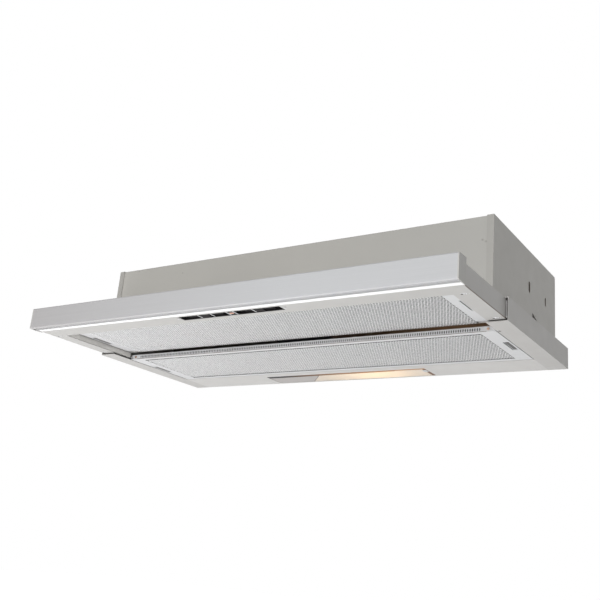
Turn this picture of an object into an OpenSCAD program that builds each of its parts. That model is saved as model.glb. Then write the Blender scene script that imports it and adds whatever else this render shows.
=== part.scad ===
// Pull out range hood for a wall cabinet, shown with its visor drawn out.
// X runs along the hood, Y from the cook towards the wall, Z up.
// The origin is the middle of the wall face, level with the underside.

/* [Lower frame] */
// Width of the lower frame
frame_w = 898; // [800:1:1000]
// Depth of the lower frame from its front edge to the wall
frame_d = 322; // [312:1:360]
// Height of the side channels
skirt_h = 40; // [40:1:48]
// Width of the underside flange beside the filters
flange_w = 37; // [34:1:40]
// Thickness of the folded steel sheet
sheet = 1.2; // [0.8:0.1:1.4]

/* [Housing] */
// How far the lower frame stands out beside the housing
side_ledge = 24; // [22:0.5:26]
// Height of the housing above the underside
housing_h = 184; // [184:1:240]
// How far the front plate stands ahead of the lower frame
plate_overhang = 6; // [4:0.5:10]
// Height of the front plate's lower edge
plate_foot = 46; // [46:1:60]
// Width of the flanges that the side panels fold round the plates
side_lap = 12; // [10:0.5:16]
// Height of the side panels' lower edge inside the channels
panel_foot = 8; // [7.5:0.5:10]
// Distance between the two screws that hang the housing on the wall
wall_screw_span = 600; // [500:10:700]

/* [Visor] */
// Gap beside the tray, from its wall to the outside of the frame
tray_side_gap = 5; // [4.5:0.1:6]
// How far the tray stands out of the frame when drawn out
pull_out = 170; // [150:1:180]
// Gap between the fascia and the frame when the visor is shut
fascia_stop = 2; // [1:0.5:4]
// Depth of the tray ahead of its front web
front_bar_d = 27; // [26.5:0.5:30]
// Height of the tray's underside
tray_z = 4; // [3.8:0.1:5]
// Height of the tray's outer walls
tray_wall_h = 34; // [30:0.5:34]
// Depth of the flange behind the fascia
front_flange_d = 38; // [34:0.5:40]

/* [Fascia] */
// How far each end of the fascia stands back from the side of the frame
fascia_inset = 1; // [0:0.5:4]
// Height of the fascia's lower edge
fascia_z = 3; // [2:0.5:3]
// Height of the fascia
fascia_h = 41; // [38:0.5:42]
// Depth of the fascia
fascia_t = 26; // [24:0.5:30]
// Thickness of the fascia's wall
fascia_wall = 1.6; // [1:0.1:2]
// Width of the finger groove behind the front lip
groove_w = 8.4; // [7:0.1:10]

/* [Filters] */
// Gap between the end of a filter and the frame's flange
filter_end_gap = 2; // [1.5:0.5:4]
// Depth of a grease filter
filter_d = 189; // [160:1:190]
// Thickness of a grease filter
filter_h = 9.4; // [8:0.1:10]
// Width of the solid cap at each end of a filter
cap_w = 29.5; // [29:0.5:40]
// Width of the long rails of a filter
rail_w = 10.5; // [8:0.5:14]
// Distance of the rear filter from the frame's front edge
rear_filter_y = 50; // [50:0.5:56]
// Height of the front filter's underside
front_filter_z = 15; // [14.5:0.5:15.5]
// How far a filter latch draws in
latch_travel = 5.5; // [4:0.1:6]

/* [Lamp] */
// Middle of the lamp glass along the hood
lamp_x = -10.5; // [-30:0.5:30]
// Length of the lamp glass
glass_w = 372; // [320:1:380]
// Depth of the lamp glass
glass_d = 50; // [44:0.5:50]
// Gap at the front and at the right end of the glass
lamp_gap = 9; // [3:0.5:10]

/* [Blower] */
// Radius of the blower wheel
wheel_r = 56; // [48:0.5:57]
// Blades round the blower wheel
blade_count = 28; // [20:1:36]
// Width of the scroll
scroll_w = 124; // [100:1:140]
// Outer radius of the duct spigot
duct_r = 59.75; // [55:0.05:60]
// Height of the duct spigot above the top plate
duct_h = 42; // [30:1:60]

/* [Controls] */
// Middle of the control panel along the hood
control_x = 16.5; // [-60:0.5:60]
// Length of the control panel
control_w = 216; // [180:1:240]
// How far the light slider moves each way
light_travel = 12; // [6:0.5:16]
// How far the speed slider moves each way
speed_travel = 15; // [6:0.5:18]

/* [Hidden] */
$fn = 64;
// Gaps between neighbours, and how far cuts run past what they cut
fine = 0.3;
gap = 1;
over = 5;

// Frame and housing
front = -frame_d;
frame_x = frame_w / 2;
open_x = frame_x - flange_w;
house_x = frame_x - side_ledge;
panel_x = house_x - sheet;
plate_y = front - plate_overhang + sheet;
top_z = housing_h - 2 * sheet;
collar_z = housing_h - sheet;
corner_cut = 3;
foot_fold = 8;
fold = 14;
bead_w = 14;
bead_h = 1.1;
bead_end = 30;
bead_shares = [-0.72, -0.4, 0.4, 0.72];
wall_hole_r = 3.5;
wall_hole_z = 150;
slot_z = 115;
slot_long_y = 172;
slot_long_h = 21;
slot_long_r = 4.5;
slot_short_y = 263;
slot_short_h = 17;
slot_short_r = 3.6;
window_y = 188;
window_w = 26;
window_z = 54;
window_h = 18;
window_low_h = 10;
pocket_in = 9;

// Visor tray
visor_x = frame_x - tray_side_gap;
tray_x = open_x + gap;
travel = pull_out - fascia_stop;
filter_play = 0.8;
tray_front = front - pull_out;
tray_rear = tray_front + front_bar_d + 2 * (sheet + filter_play) + filter_d;
tray_top = tray_z + tray_wall_h;
tray_lip = 8;
filter_x = open_x - filter_end_gap;
front_filter_y = tray_rear - sheet - filter_play - filter_d;
lip_z = front_filter_z + filter_h + fine;
bar_top = lip_z + sheet;
bar_lip = 13;
bar_foot = front_filter_z + gap;

// Fascia
fascia_top = fascia_z + fascia_h;
fascia_front = tray_front - fascia_t;
fascia_x = frame_x - fascia_inset;
fascia_round = 2.4;
lip_d = 6;
end_cap_t = 2;
strip_h = 16;
strip_front = fascia_front + lip_d + groove_w;
strip_rear_lap = 2.4;

// Filters and latches
rear_filter_front = front + rear_filter_y;
frame_open_rear = rear_filter_front + filter_d + gap;
strip_lip_h = 8;
cap_wall = 0.8;
ramp_h = 3;
ramp_d = 12;
pleats = 42;
pleat_t = 0.7;
mesh_play = 0.3;
latch_z = 1;
latch_rest = 0.2;
rear_filter_z = sheet + latch_rest - latch_z;
latch_t = 2;
latch_play = 0.2;
latch_d = 54;
latch_in = 22;
latch_bolt_w = 16;
latch_bolt = 7;
latch_rim = 3.5;
latch_grip_w = 6;
latch_grip_share = 0.45;
latch_window_x = 8.2;
latch_groove_w = 1.4;
stud_r = 2.2;
stud_h = 1.4;
stud_in = 13;

// Lamp
glass_t = 2.6;
glass_play = 1.5;
glass_y = -sheet - 2 * glass_play - glass_d;
glass_z = 0.4;
ledge_t = 1.5;
ledge_z = glass_z + glass_t + fine / 2 + ledge_t;
ledge_w = 5;
lamp_wall = 1.5;
lamp_rim = 4.5;
lamp_h = 36;
vents = 6;
vent_w = 3;
vent_pitch = 11;
reflector_t = 0.8;
reflector_side = 2;
reflector_r = glass_d / 2 - reflector_side;
reflector_right_in = 24;
reflector_front_in = 130;
reflector_rear_in = 88;
reflector_right = lamp_x + glass_w / 2 - reflector_right_in;
reflector_left_front = lamp_x - glass_w / 2 + reflector_front_in;
reflector_left_rear = lamp_x - glass_w / 2 + reflector_rear_in;
bulb_play = 0.85;
bulb_lift = 2.35;
bulb_r = (reflector_r - reflector_t - bulb_play - bulb_lift) / 2;
bulb_z = ledge_z + bulb_lift + bulb_r;
bulb_len = 98;
bulb_body_share = 0.7;
bulb_neck_r = 0.6 * bulb_r;
holder_len = 30;
holder_rim = 0.5;
holder_r = bulb_r + holder_rim;
bulb_x = reflector_right - reflector_t - holder_len - bulb_len;

// Runners, from the housing panel out to the tray wall
runner_lift = 3.5;
runner_z = tray_z + sheet + runner_lift;
runner_h = 24;
runner_t = 1.4;
runner_step = 2;
runner_out_x = 9;
runner_mid_x = 3.4;
runner_mid_reach = 13;
runner_front = 4;
runner_len = 296;
runner_mid_len = 288;
runner_in_front = 12;
runner_in_rear = 124;
inner_lip_x = house_x + runner_mid_x + runner_t + runner_step;
glide_len = 16;

// Controls
control_d = 21;
control_web_gap = 2.5;
control_y = tray_front + front_bar_d - control_web_gap - control_d;
control_h = 15;
control_wall = 1.4;
middle_x = 4.5;
middle_w = 16;
groove_d = 0.9;
slider_roof = 4.8;
knob_w = 22.5;
knob_t = 3;
knob_foot = 0.6;
indicator_w = 9;
indicator_d = 6;
ear_w = 11;
ear_t = 2.5;
ear_in = 4;
bezel_screw_r = 1.3;
bezel_head_r = 2.6;
bezel_head_h = 0.8;

// Blower
blower_setback = 118;
blower_y = front + blower_setback;
blower_z = 105;
scroll_wall = 1.5;
scroll_rim = 2;
scroll_play = 6;
scroll_r = wheel_r + scroll_play;
scroll_grow = 18;
scroll_to = 270;
scroll_steps = 40;
throat_in = 8;
throat_w = 118;
blade_depth = 11;
blade_in_r = wheel_r - blade_depth;
eye_r = blade_in_r;
bell_r = 6;
bell_t = 1.2;
blade_t = 1;
blade_sweep = 12;
blade_steps = 3;
blade_rim_play = 0.3;
wheel_side_play = 6;
wheel_w = scroll_w - 2 * wheel_side_play;
wheel_disc_t = 2;
wheel_ring = 5;
hub_r = 12;
hub_w = 20;
nut_r = 7;
nut_h = 5;
shaft_r = 4;
shaft_play = 0.05;
shaft_right = 22;
motor_gap = 10;
motor_face = scroll_w / 2 + scroll_wall + motor_gap;
motor_r = 40;
motor_len = 56;
motor_bell_r = 31;
motor_bell_len = 7;
shaft_tail = 5.5;
shaft_left = motor_face + motor_len + motor_bell_len + shaft_tail;
motor_fins = 18;
fin_gap = 4;
bearing_r = 9;
bearing_w = 7;
foot_r = 57.5;
foot_angles = [30, 150, 270];
leg_w = 12;
bracket_t = 2;
bracket_rim = 4;
post_r = 3.5;
mount_r = 5;
mount_h = 3;

// Duct spigot and its flaps
collar_y = blower_y + throat_in + throat_w / 2;
collar_wall = 2;
collar_flange = 14;
collar_flange_t = 2.5;
collar_lip = 1.2;
screw_r = 1.6;
screw_head_r = 3.5;
screw_head_h = 2.2;
stop_z = 5.9;
stop_h = 2;
stop_w = 4;
flap_t = 1.5;
flap_play = 1.25;
flap_edge = 3.6;
flap_pin_r = 1.5;
flap_pin_play = 0.06;
flap_pin_rise = 2.6;
flap_pin_z = stop_z + stop_h + fine + flap_pin_rise;
knuckle_r = 3;
flap_r = duct_r - collar_wall - flap_play;
knuckle_w_share = 0.32;
knuckle_w = knuckle_w_share * flap_r;
knuckle_shares = [-0.78, -0.266, 0.266, 0.78];

// Electrical pieces
box_in = 145;
box_x = box_in - house_x;
box_y = -72;
box_w = 72;
box_d = 46;
box_h = 30;
box_wall = 1.8;
gland_r = 8;
gland_flange_r = 11.5;
gland_flange_h = 3.4;
gland_nut_h = 4;
gland_len = 17;
gland_bore_r = 4.2;
cap_x = 150;
can_r = 15;
can_len = 54;
clip_w = 14;
clip_t = 1;
can_z = top_z - can_r - 1.5 * clip_t;
tag_len = 8;
tag_w = 6;
tag_t = 0.8;
switch_side = 3.2;
switch_d = 20;
switch_h = 11;
switch_z = 14.5;
plunger_r = 1.6;
plunger_out = 3;
plunger_play = 0.08;
plunger_stroke = 1.2;
plunger_in = 2;
plunger_x = tray_x - plunger_in;
switch_y = tray_rear + travel + fine + plunger_out;

// Shared helpers

// A profile drawn in Y and Z, run along X
module along_x(x_from, x_to) {
    translate([x_from, 0, 0])
        rotate([90, 0, 90])
            linear_extrude(x_to - x_from)
                children();
}

// A profile drawn in X and Z, run along Y
module along_y(y_from, y_to) {
    translate([0, y_to, 0])
        rotate([90, 0, 0])
            linear_extrude(y_to - y_from)
                children();
}

// A plan outline from one height to another
module between(z_from, z_to) {
    translate([0, 0, z_from])
        linear_extrude(z_to - z_from)
            children();
}

// A rectangle from its two corners
module rect(a, b) {
    translate(a)
        square(b - a);
}

// A piece drawn for the right side, or its mirror image on the left
module on_side(side) {
    if (side < 0) {
        mirror([1, 0, 0])
            children();
    } else {
        children();
    }
}

// A slot with round ends, upright in the plane of X and Z
module slot_shape(length, r) {
    for (end = [-1, 1])
        translate([0, end * (length / 2 - r)])
            circle(r);
    square([2 * r, length - 2 * r], center = true);
}

// Housing

// A side panel; the pocket behind its window takes the clip that holds the hood in its cabinet
module side_panel(side) {
    color([0.57, 0.56, 0.53])
        on_side(side)
            difference() {
                union() {
                    along_y(front - plate_overhang, -sheet)
                        polygon([
                            [panel_x, panel_foot],
                            [house_x, panel_foot],
                            [house_x, housing_h],
                            [house_x - side_lap, housing_h],
                            [house_x - side_lap, housing_h - sheet],
                            [panel_x, housing_h - sheet]]);
                    along_y(front - plate_overhang, plate_y)
                        polygon([
                            [house_x - side_lap, plate_foot],
                            [house_x, plate_foot],
                            [house_x, housing_h],
                            [house_x - side_lap + corner_cut, housing_h],
                            [house_x - side_lap, housing_h - corner_cut]]);
                    along_y(-2 * sheet, -sheet)
                        rect([house_x - side_lap, skirt_h], [house_x, housing_h]);
                    along_x(panel_x - pocket_in, panel_x)
                        rect([front + window_y - sheet, window_z - sheet],
                            [front + window_y + window_w + sheet, window_z + window_h + sheet]);
                }
                along_y(front - plate_overhang - over, front)
                    rect([panel_x - side_lap, panel_foot - over], [house_x + over, plate_foot]);
                along_x(panel_x - over, house_x + over) {
                    translate([front + slot_long_y, slot_z])
                        slot_shape(slot_long_h, slot_long_r);
                    translate([front + slot_short_y, slot_z])
                        slot_shape(slot_short_h, slot_short_r);
                }
                along_x(panel_x - pocket_in + sheet, house_x + over)
                    translate([front + window_y, window_z])
                        polygon([[0, 0], [window_w, 0], [window_w, window_low_h], [0, window_h]]);
            }
}

module front_plate() {
    color([0.67, 0.66, 0.64])
        along_x(fine - panel_x, panel_x - fine)
            polygon([
                [plate_y, plate_foot],
                [plate_y + foot_fold, plate_foot],
                [plate_y + foot_fold, plate_foot + sheet],
                [plate_y + sheet, plate_foot + sheet],
                [plate_y + sheet, top_z - sheet],
                [plate_y + fold, top_z - sheet],
                [plate_y + fold, top_z],
                [plate_y, top_z]]);
}

module back_panel() {
    color([0.57, 0.56, 0.53])
        difference() {
            union() {
                along_x(-house_x, house_x)
                    rect([-sheet, 0], [0, top_z]);
                along_x(side_lap + gap - house_x, house_x - side_lap - gap)
                    rect([-fold, top_z - sheet], [0, top_z]);
            }
            for (side = [-1, 1])
                translate([side * wall_screw_span / 2, over, wall_hole_z])
                    rotate([90, 0, 0])
                        cylinder(r = wall_hole_r, h = sheet + 2 * over);
        }
}

module top_plate() {
    bead_r = (bead_w * bead_w / 4 + bead_h * bead_h) / (2 * bead_h);
    color([0.6, 0.59, 0.57])
        difference() {
            union() {
                between(top_z, collar_z)
                    rect([fine - panel_x, plate_y], [panel_x - fine, -2 * sheet]);
                for (share = bead_shares)
                    translate([share * house_x, 0, collar_z + bead_h - bead_r])
                        intersection() {
                            along_y(front + bead_end, -bead_end)
                                circle(bead_r);
                            translate([-bead_w / 2, front, bead_r - bead_h - sheet / 2])
                                cube([bead_w, frame_d, bead_h + sheet]);
                        }
            }
            translate([0, collar_y, top_z - over])
                cylinder(r = duct_r - collar_wall, h = sheet + 2 * over);
            translate([box_x, box_y, top_z - over])
                cylinder(r = gland_r + fine, h = sheet + 2 * over);
            spigot_places()
                cylinder(r = screw_r, h = 2 * over, center = true);
        }
}

// Lower frame

module frame_channel(side) {
    color([0.6, 0.59, 0.56])
        on_side(side) {
            along_y(front, -sheet)
                polygon([
                    [open_x, 0],
                    [frame_x, 0],
                    [frame_x, skirt_h],
                    [house_x, skirt_h],
                    [house_x, skirt_h - sheet],
                    [frame_x - sheet, skirt_h - sheet],
                    [frame_x - sheet, sheet],
                    [open_x, sheet]]);
            along_y(-sheet, 0)
                rect([house_x, 0], [frame_x, skirt_h]);
        }
}

module rear_strip() {
    color([0.78, 0.77, 0.75])
        difference() {
            along_x(-open_x, open_x)
                polygon([
                    [frame_open_rear, 0],
                    [-sheet, 0],
                    [-sheet, sheet],
                    [frame_open_rear + sheet, sheet],
                    [frame_open_rear + sheet, strip_lip_h],
                    [frame_open_rear, strip_lip_h]]);
            between(-over, over)
                rect([lamp_x - glass_w / 2 - glass_play, glass_y - lamp_gap],
                    [lamp_x + glass_w / 2 + lamp_gap, glass_y + glass_d + glass_play]);
        }
}

// Duct spigot and non-return flaps

// The three screws round the spigot
module spigot_places() {
    for (a = foot_angles)
        translate([0, collar_y, collar_z])
            rotate(a)
                translate([duct_r + collar_flange / 2, 0, 0])
                    children();
}

module spigot_screws() {
    color([0.75, 0.75, 0.76])
        spigot_places() {
            translate([0, 0, -sheet])
                cylinder(r = screw_r, h = sheet + collar_flange_t);
            translate([0, 0, collar_flange_t])
                cylinder(r = screw_head_r, h = screw_head_h);
        }
}

module duct_spigot() {
    inner = duct_r - collar_wall;
    color([0.16, 0.16, 0.17])
        difference() {
            translate([0, collar_y, collar_z])
                rotate_extrude($fn = 128)
                    polygon([
                        [inner, 0],
                        [duct_r + collar_flange, 0],
                        [duct_r + collar_flange, collar_flange_t],
                        [duct_r, collar_flange_t],
                        [duct_r, duct_h - collar_lip],
                        [duct_r - collar_lip, duct_h],
                        [inner, duct_h],
                        [inner, stop_z + stop_h],
                        [inner - stop_w, stop_z + stop_h],
                        [inner - stop_w, stop_z + stop_h / 2],
                        [inner, stop_z]]);
            translate([0, collar_y, collar_z])
                flap_axle(duct_r - collar_wall / 2, flap_pin_r);
            spigot_places()
                cylinder(r = screw_r, h = 2 * over, center = true);
        }
}

// A cylinder on the flaps' axis, half_length each way
module flap_axle(half_length, r) {
    translate([-half_length, 0, flap_pin_z])
        rotate([0, 90, 0])
            cylinder(r = r, h = 2 * half_length);
}

module flap_pin() {
    color([0.75, 0.75, 0.76])
        translate([0, collar_y, collar_z])
            flap_axle(duct_r - collar_wall / 2 - fine, flap_pin_r);
}

module flap(side, shares) {
    plate_z = stop_z + stop_h + fine;
    color([0.22, 0.22, 0.23])
        translate([0, collar_y, collar_z])
            difference() {
                union() {
                    between(plate_z, plate_z + flap_t)
                        intersection() {
                            circle(flap_r);
                            union() {
                                translate([-flap_r, side > 0 ? flap_edge : -flap_edge - flap_r])
                                    square([2 * flap_r, flap_r]);
                                for (share = shares)
                                    translate([share * flap_r - knuckle_w / 2, side > 0 ? 0 : -2 * flap_edge])
                                        square([knuckle_w, 2 * flap_edge]);
                            }
                        }
                    for (share = shares)
                        translate([share * flap_r - knuckle_w / 2, 0, flap_pin_z])
                            rotate([0, 90, 0])
                                cylinder(r = knuckle_r, h = knuckle_w);
                }
                flap_axle(flap_r + over, flap_pin_r + flap_pin_play);
            }
}

// Blower

// A point of the scroll at an angle from the top, turning towards the cook
function scroll_point(a, r) = [blower_y - r * sin(a), blower_z + r * cos(a)];

// The angle at which the scroll starts, straight under the throat's front wall
function scroll_from(wall) = -asin((throat_in - wall) / (scroll_r + wall));

// The scroll's inner radius, which grows steadily from the tongue
function scroll_radius(a) = scroll_r + scroll_grow * (a - scroll_from(0)) / scroll_to;

// The scroll's outline, set outwards by a wall, with its throat run up past the top
function scroll_outline(wall, past) = concat(
    [for (i = [0 : scroll_steps])
        let (a = scroll_from(wall) + (scroll_to - scroll_from(wall)) * i / scroll_steps)
            scroll_point(a, scroll_radius(a) + wall)],
    [[blower_y + throat_in + throat_w + wall, top_z]],
    past > 0 ? [[blower_y + throat_in + throat_w + wall, top_z + past]] : [],
    [[blower_y + throat_in - wall, top_z + past]]);

module scroll_wrap() {
    color([0.3, 0.31, 0.33])
        along_x(-scroll_w / 2, scroll_w / 2)
            difference() {
                polygon(scroll_outline(scroll_wall, 0));
                polygon(scroll_outline(0, over));
            }
}

module scroll_cheeks() {
    color([0.34, 0.35, 0.37])
        for (side = [-1, 1])
            scroll_cheek(side);
}

// A cheek of the scroll with its bellmouth
module scroll_cheek(side) {
    on_side(side) {
        along_x(scroll_w / 2, scroll_w / 2 + scroll_wall)
            difference() {
                polygon(scroll_outline(scroll_wall + scroll_rim, 0));
                translate([blower_y, blower_z])
                    circle(eye_r + bell_t / 2);
            }
        translate([scroll_w / 2, blower_y, blower_z])
            rotate([0, 90, 0])
                rotate_extrude($fn = 96)
                    intersection() {
                        translate([eye_r + bell_r, 0])
                            difference() {
                                circle(bell_r);
                                circle(bell_r - bell_t);
                            }
                        translate([eye_r - bell_r, 0])
                            square(2 * bell_r);
                    }
    }
}

// A point on a blade, as a share of the way from its inner to its outer edge
function blade_point(share, shift) =
    let (r = blade_in_r + share * (wheel_r - blade_rim_play - blade_in_r))
    let (a = blade_sweep * share * share + shift / r * 180 / PI)
        [r * cos(a), r * sin(a)];

module blower_wheel() {
    color([0.2, 0.2, 0.22])
        translate([0, blower_y, blower_z])
            difference() {
                union() {
                    along_x(-wheel_w / 2, wheel_w / 2)
                        for (i = [0 : blade_count - 1])
                            rotate(360 * i / blade_count)
                                polygon(concat(
                                    [for (s = [0 : blade_steps]) blade_point(s / blade_steps, 0)],
                                    [for (s = [blade_steps : -1 : 0])
                                        blade_point(s / blade_steps, blade_t)]));
                    for (side = [-1, 1])
                        translate([side * (wheel_w - wheel_disc_t) / 2, 0, 0])
                            wheel_disc(wheel_r, wheel_r - wheel_ring, wheel_disc_t);
                    wheel_disc(wheel_r - blade_rim_play * 2, 0, wheel_disc_t);
                    wheel_disc(hub_r, 0, hub_w);
                }
                wheel_disc(shaft_r, 0, hub_w + over);
            }
}

// A disc on the shaft's axis, with a hole where the inner radius isn't zero
module wheel_disc(r, hole_r, w) {
    rotate([0, 90, 0])
        difference() {
            cylinder(r = r, h = w, center = true, $fn = 96);
            if (hole_r > 0)
                cylinder(r = hole_r, h = w + over, center = true, $fn = 96);
        }
}

module motor_shaft() {
    color([0.7, 0.7, 0.72])
        translate([0, blower_y, blower_z]) {
            along_x(-shaft_left, shaft_right)
                circle(shaft_r);
            along_x(hub_w / 2, hub_w / 2 + nut_h)
                circle(nut_r, $fn = 6);
        }
}

module motor() {
    color([0.62, 0.62, 0.6])
        translate([-motor_face, blower_y, blower_z])
            difference() {
                union() {
                    along_x(-motor_len, 0)
                        difference() {
                            circle(motor_r);
                            for (i = [0 : motor_fins - 1])
                                rotate(360 * i / motor_fins)
                                    translate([motor_r, 0])
                                        square(fin_gap, center = true);
                        }
                    along_x(-motor_len - motor_bell_len, motor_bell_len)
                        circle(motor_bell_r);
                }
                along_x(-motor_len - motor_bell_len - over, motor_bell_len + over)
                    circle(shaft_r + gap);
                along_x(motor_bell_len - bearing_w, motor_bell_len + over)
                    circle(bearing_r);
                along_x(-motor_len - motor_bell_len - over, bearing_w - motor_len - motor_bell_len)
                    circle(bearing_r);
            }
}

module motor_bearings() {
    color([0.72, 0.6, 0.35])
        translate([-motor_face, blower_y, blower_z])
            for (x = [motor_bell_len - bearing_w, -motor_len - motor_bell_len])
                along_x(x, x + bearing_w)
                    difference() {
                        circle(bearing_r);
                        circle(shaft_r + shaft_play);
                    }
}

module motor_bracket() {
    color([0.55, 0.55, 0.56])
        translate([-motor_face, blower_y, blower_z]) {
            along_x(0, bracket_t)
                difference() {
                    union() {
                        circle(motor_r + bracket_rim);
                        for (a = foot_angles)
                            rotate(a) {
                                translate([0, -leg_w / 2])
                                    square([foot_r, leg_w]);
                                translate([foot_r, 0])
                                    circle(leg_w / 2);
                            }
                    }
                    circle(motor_bell_r + fine);
                }
            for (a = foot_angles)
                along_x(bracket_t, motor_gap - mount_h)
                    rotate(a)
                        translate([foot_r, 0])
                            circle(post_r);
        }
}

module motor_mounts() {
    color([0.12, 0.12, 0.12])
        translate([-motor_face, blower_y, blower_z])
            for (a = foot_angles)
                along_x(motor_gap - mount_h, motor_gap)
                    rotate(a)
                        translate([foot_r, 0])
                            circle(mount_r);
}

// Electrical pieces

module terminal_box() {
    color([0.85, 0.85, 0.83])
        translate([box_x, box_y, 0])
            difference() {
                between(top_z - box_h, top_z)
                    square([box_w, box_d], center = true);
                between(top_z - box_h - over, top_z - box_wall)
                    square([box_w - 2 * box_wall, box_d - 2 * box_wall], center = true);
                between(top_z - box_h, top_z + over)
                    circle(gland_r + fine);
            }
}

module terminal_box_lid() {
    color([0.8, 0.8, 0.78])
        translate([box_x, box_y, 0]) {
            between(top_z - box_h - box_wall, top_z - box_h)
                square([box_w, box_d], center = true);
            between(top_z - box_h, top_z - box_h + box_wall)
                difference() {
                    square([box_w - 2 * box_wall - fine, box_d - 2 * box_wall - fine], center = true);
                    square([box_w - 5 * box_wall, box_d - 5 * box_wall], center = true);
                }
        }
}

module cable_gland() {
    color([0.2, 0.2, 0.2])
        translate([box_x, box_y, collar_z])
            difference() {
                union() {
                    cylinder(r = gland_flange_r, h = gland_flange_h, $fn = 6);
                    translate([0, 0, gland_flange_h - gland_len])
                        cylinder(r = gland_r, h = gland_len - gland_flange_h / 2);
                    translate([0, 0, -sheet - box_wall - gland_nut_h])
                        cylinder(r = gland_flange_r, h = gland_nut_h, $fn = 6);
                }
                translate([0, 0, gland_flange_h - gland_len - over])
                    cylinder(r = gland_bore_r, h = gland_len + 2 * over);
            }
}

module capacitor() {
    color([0.88, 0.88, 0.86])
        translate([cap_x, collar_y, can_z]) {
            along_y(-can_len / 2, can_len / 2)
                circle(can_r);
            along_y(can_len / 2, can_len / 2 + tag_len)
                for (side = [-1, 1])
                    translate([side * can_r / 2, 0])
                        square([tag_t, tag_w], center = true);
        }
}

module capacitor_clip() {
    color([0.6, 0.6, 0.61])
        translate([cap_x, collar_y, 0])
            along_y(-clip_w / 2, clip_w / 2)
                difference() {
                    union() {
                        translate([0, can_z])
                            circle(can_r + clip_t);
                        translate([0, top_z - clip_t / 2])
                            square([2 * can_r + clip_w, clip_t], center = true);
                    }
                    translate([0, can_z])
                        circle(can_r);
                }
}

module visor_switch() {
    color([0.12, 0.12, 0.13])
        difference() {
            along_y(switch_y, switch_y + switch_d)
                rect([plunger_x - switch_side, switch_z], [panel_x, switch_z + switch_h]);
            translate([plunger_x, 0, switch_z + switch_h / 2])
                along_y(switch_y - over, switch_y + 2 * plunger_out + plunger_stroke)
                    circle(plunger_r + plunger_play);
            for (z = [1, 3] * switch_h / 4)
                translate([(plunger_x + panel_x) / 2, 0, switch_z + z])
                    along_y(switch_y + switch_d - plunger_out, switch_y + switch_d + over)
                        square([tag_w, tag_w / 2], center = true);
        }
}

module switch_plunger() {
    color([0.85, 0.2, 0.15])
        translate([plunger_x, 0, switch_z + switch_h / 2])
            along_y(switch_y - plunger_out, switch_y + 2 * plunger_out)
                circle(plunger_r);
}

// Lamp

module lamp_housing() {
    left = lamp_x - glass_w / 2 - lamp_rim;
    right = lamp_x + glass_w / 2 + lamp_gap - glass_play + lamp_rim;
    front_y = glass_y - lamp_gap + glass_play - lamp_rim;
    lap = ledge_w - lamp_rim + lamp_wall;
    color([0.7, 0.7, 0.69])
        difference() {
            between(sheet, sheet + lamp_h)
                rect([left, front_y], [right, -sheet]);
            between(sheet - over, glass_z + glass_t + fine / 2)
                rect([left + lamp_wall, front_y + lamp_wall],
                    [right - lamp_wall, -sheet - lamp_wall]);
            between(0, ledge_z)
                rect([lamp_x - glass_w / 2 + lap, glass_y + lap],
                    [lamp_x + glass_w / 2 - lap, glass_y + glass_d - lap]);
            between(ledge_z, sheet + lamp_h - lamp_wall)
                rect([left + lamp_wall, front_y + lamp_wall],
                    [right - lamp_wall, -sheet - lamp_wall]);
            for (i = [0 : vents - 1])
                translate([bulb_x - bulb_len / 2 + i * vent_pitch, glass_y + glass_d / 2, 0])
                    between(lamp_h - lamp_wall, lamp_h + over)
                        square([vent_w, glass_d / 2], center = true);
        }
}

// The plan of the reflector, drawn in from its edges by a wall
module reflector_plan(wall) {
    polygon([
        [reflector_left_front + wall, glass_y],
        [reflector_right - wall, glass_y],
        [reflector_right - wall, glass_y + glass_d],
        [reflector_left_rear + wall, glass_y + glass_d]]);
}

module reflector() {
    color([0.9, 0.9, 0.9])
        union() {
            difference() {
                reflector_body(reflector_r, 0);
                reflector_body(reflector_r - reflector_t, reflector_t);
            }
            between(ledge_z, ledge_z + reflector_t)
                difference() {
                    reflector_plan(0);
                    reflector_plan_inner(reflector_r - reflector_t, reflector_t);
                }
        }
}

// The solid under the reflector's arch
module reflector_body(r, wall) {
    intersection() {
        along_x(reflector_left_rear - over, reflector_right + over)
            intersection() {
                translate([glass_y + glass_d / 2, ledge_z])
                    circle(r);
                rect([glass_y, ledge_z - (wall > 0 ? over : 0)], [glass_y + glass_d, lamp_h]);
            }
        between(ledge_z - over, lamp_h)
            reflector_plan(wall);
    }
}

// The opening in the reflector's flange
module reflector_plan_inner(half, wall) {
    intersection() {
        reflector_plan(wall);
        rect([reflector_left_rear - over, glass_y + glass_d / 2 - half],
            [reflector_right + over, glass_y + glass_d / 2 + half]);
    }
}

module lamp_glass() {
    color([0.8, 0.8, 0.76, 0.6])
        between(glass_z, glass_z + glass_t)
            rect([lamp_x - glass_w / 2, glass_y], [lamp_x + glass_w / 2, glass_y + glass_d]);
}

module lamp_holder() {
    color([0.93, 0.92, 0.88])
        translate([0, glass_y + glass_d / 2, bulb_z])
            along_x(reflector_right - reflector_t - holder_len, reflector_right - reflector_t)
                difference() {
                    circle(holder_r);
                    circle(bulb_neck_r + fine / 2);
                }
}

module bulb() {
    color([1, 0.93, 0.75])
        translate([bulb_x, glass_y + glass_d / 2, bulb_z])
            rotate([0, 90, 0])
                rotate_extrude() {
                    translate([0, bulb_r])
                        intersection() {
                            circle(bulb_r);
                            translate([0, -bulb_r])
                                square(bulb_r);
                        }
                    polygon([
                        [0, bulb_r],
                        [bulb_r, bulb_r],
                        [bulb_r, bulb_len * bulb_body_share],
                        [bulb_neck_r, bulb_len],
                        [bulb_neck_r, bulb_len + holder_len * bulb_body_share],
                        [0, bulb_len + holder_len * bulb_body_share]]);
                }
}

// Grease filters

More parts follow.
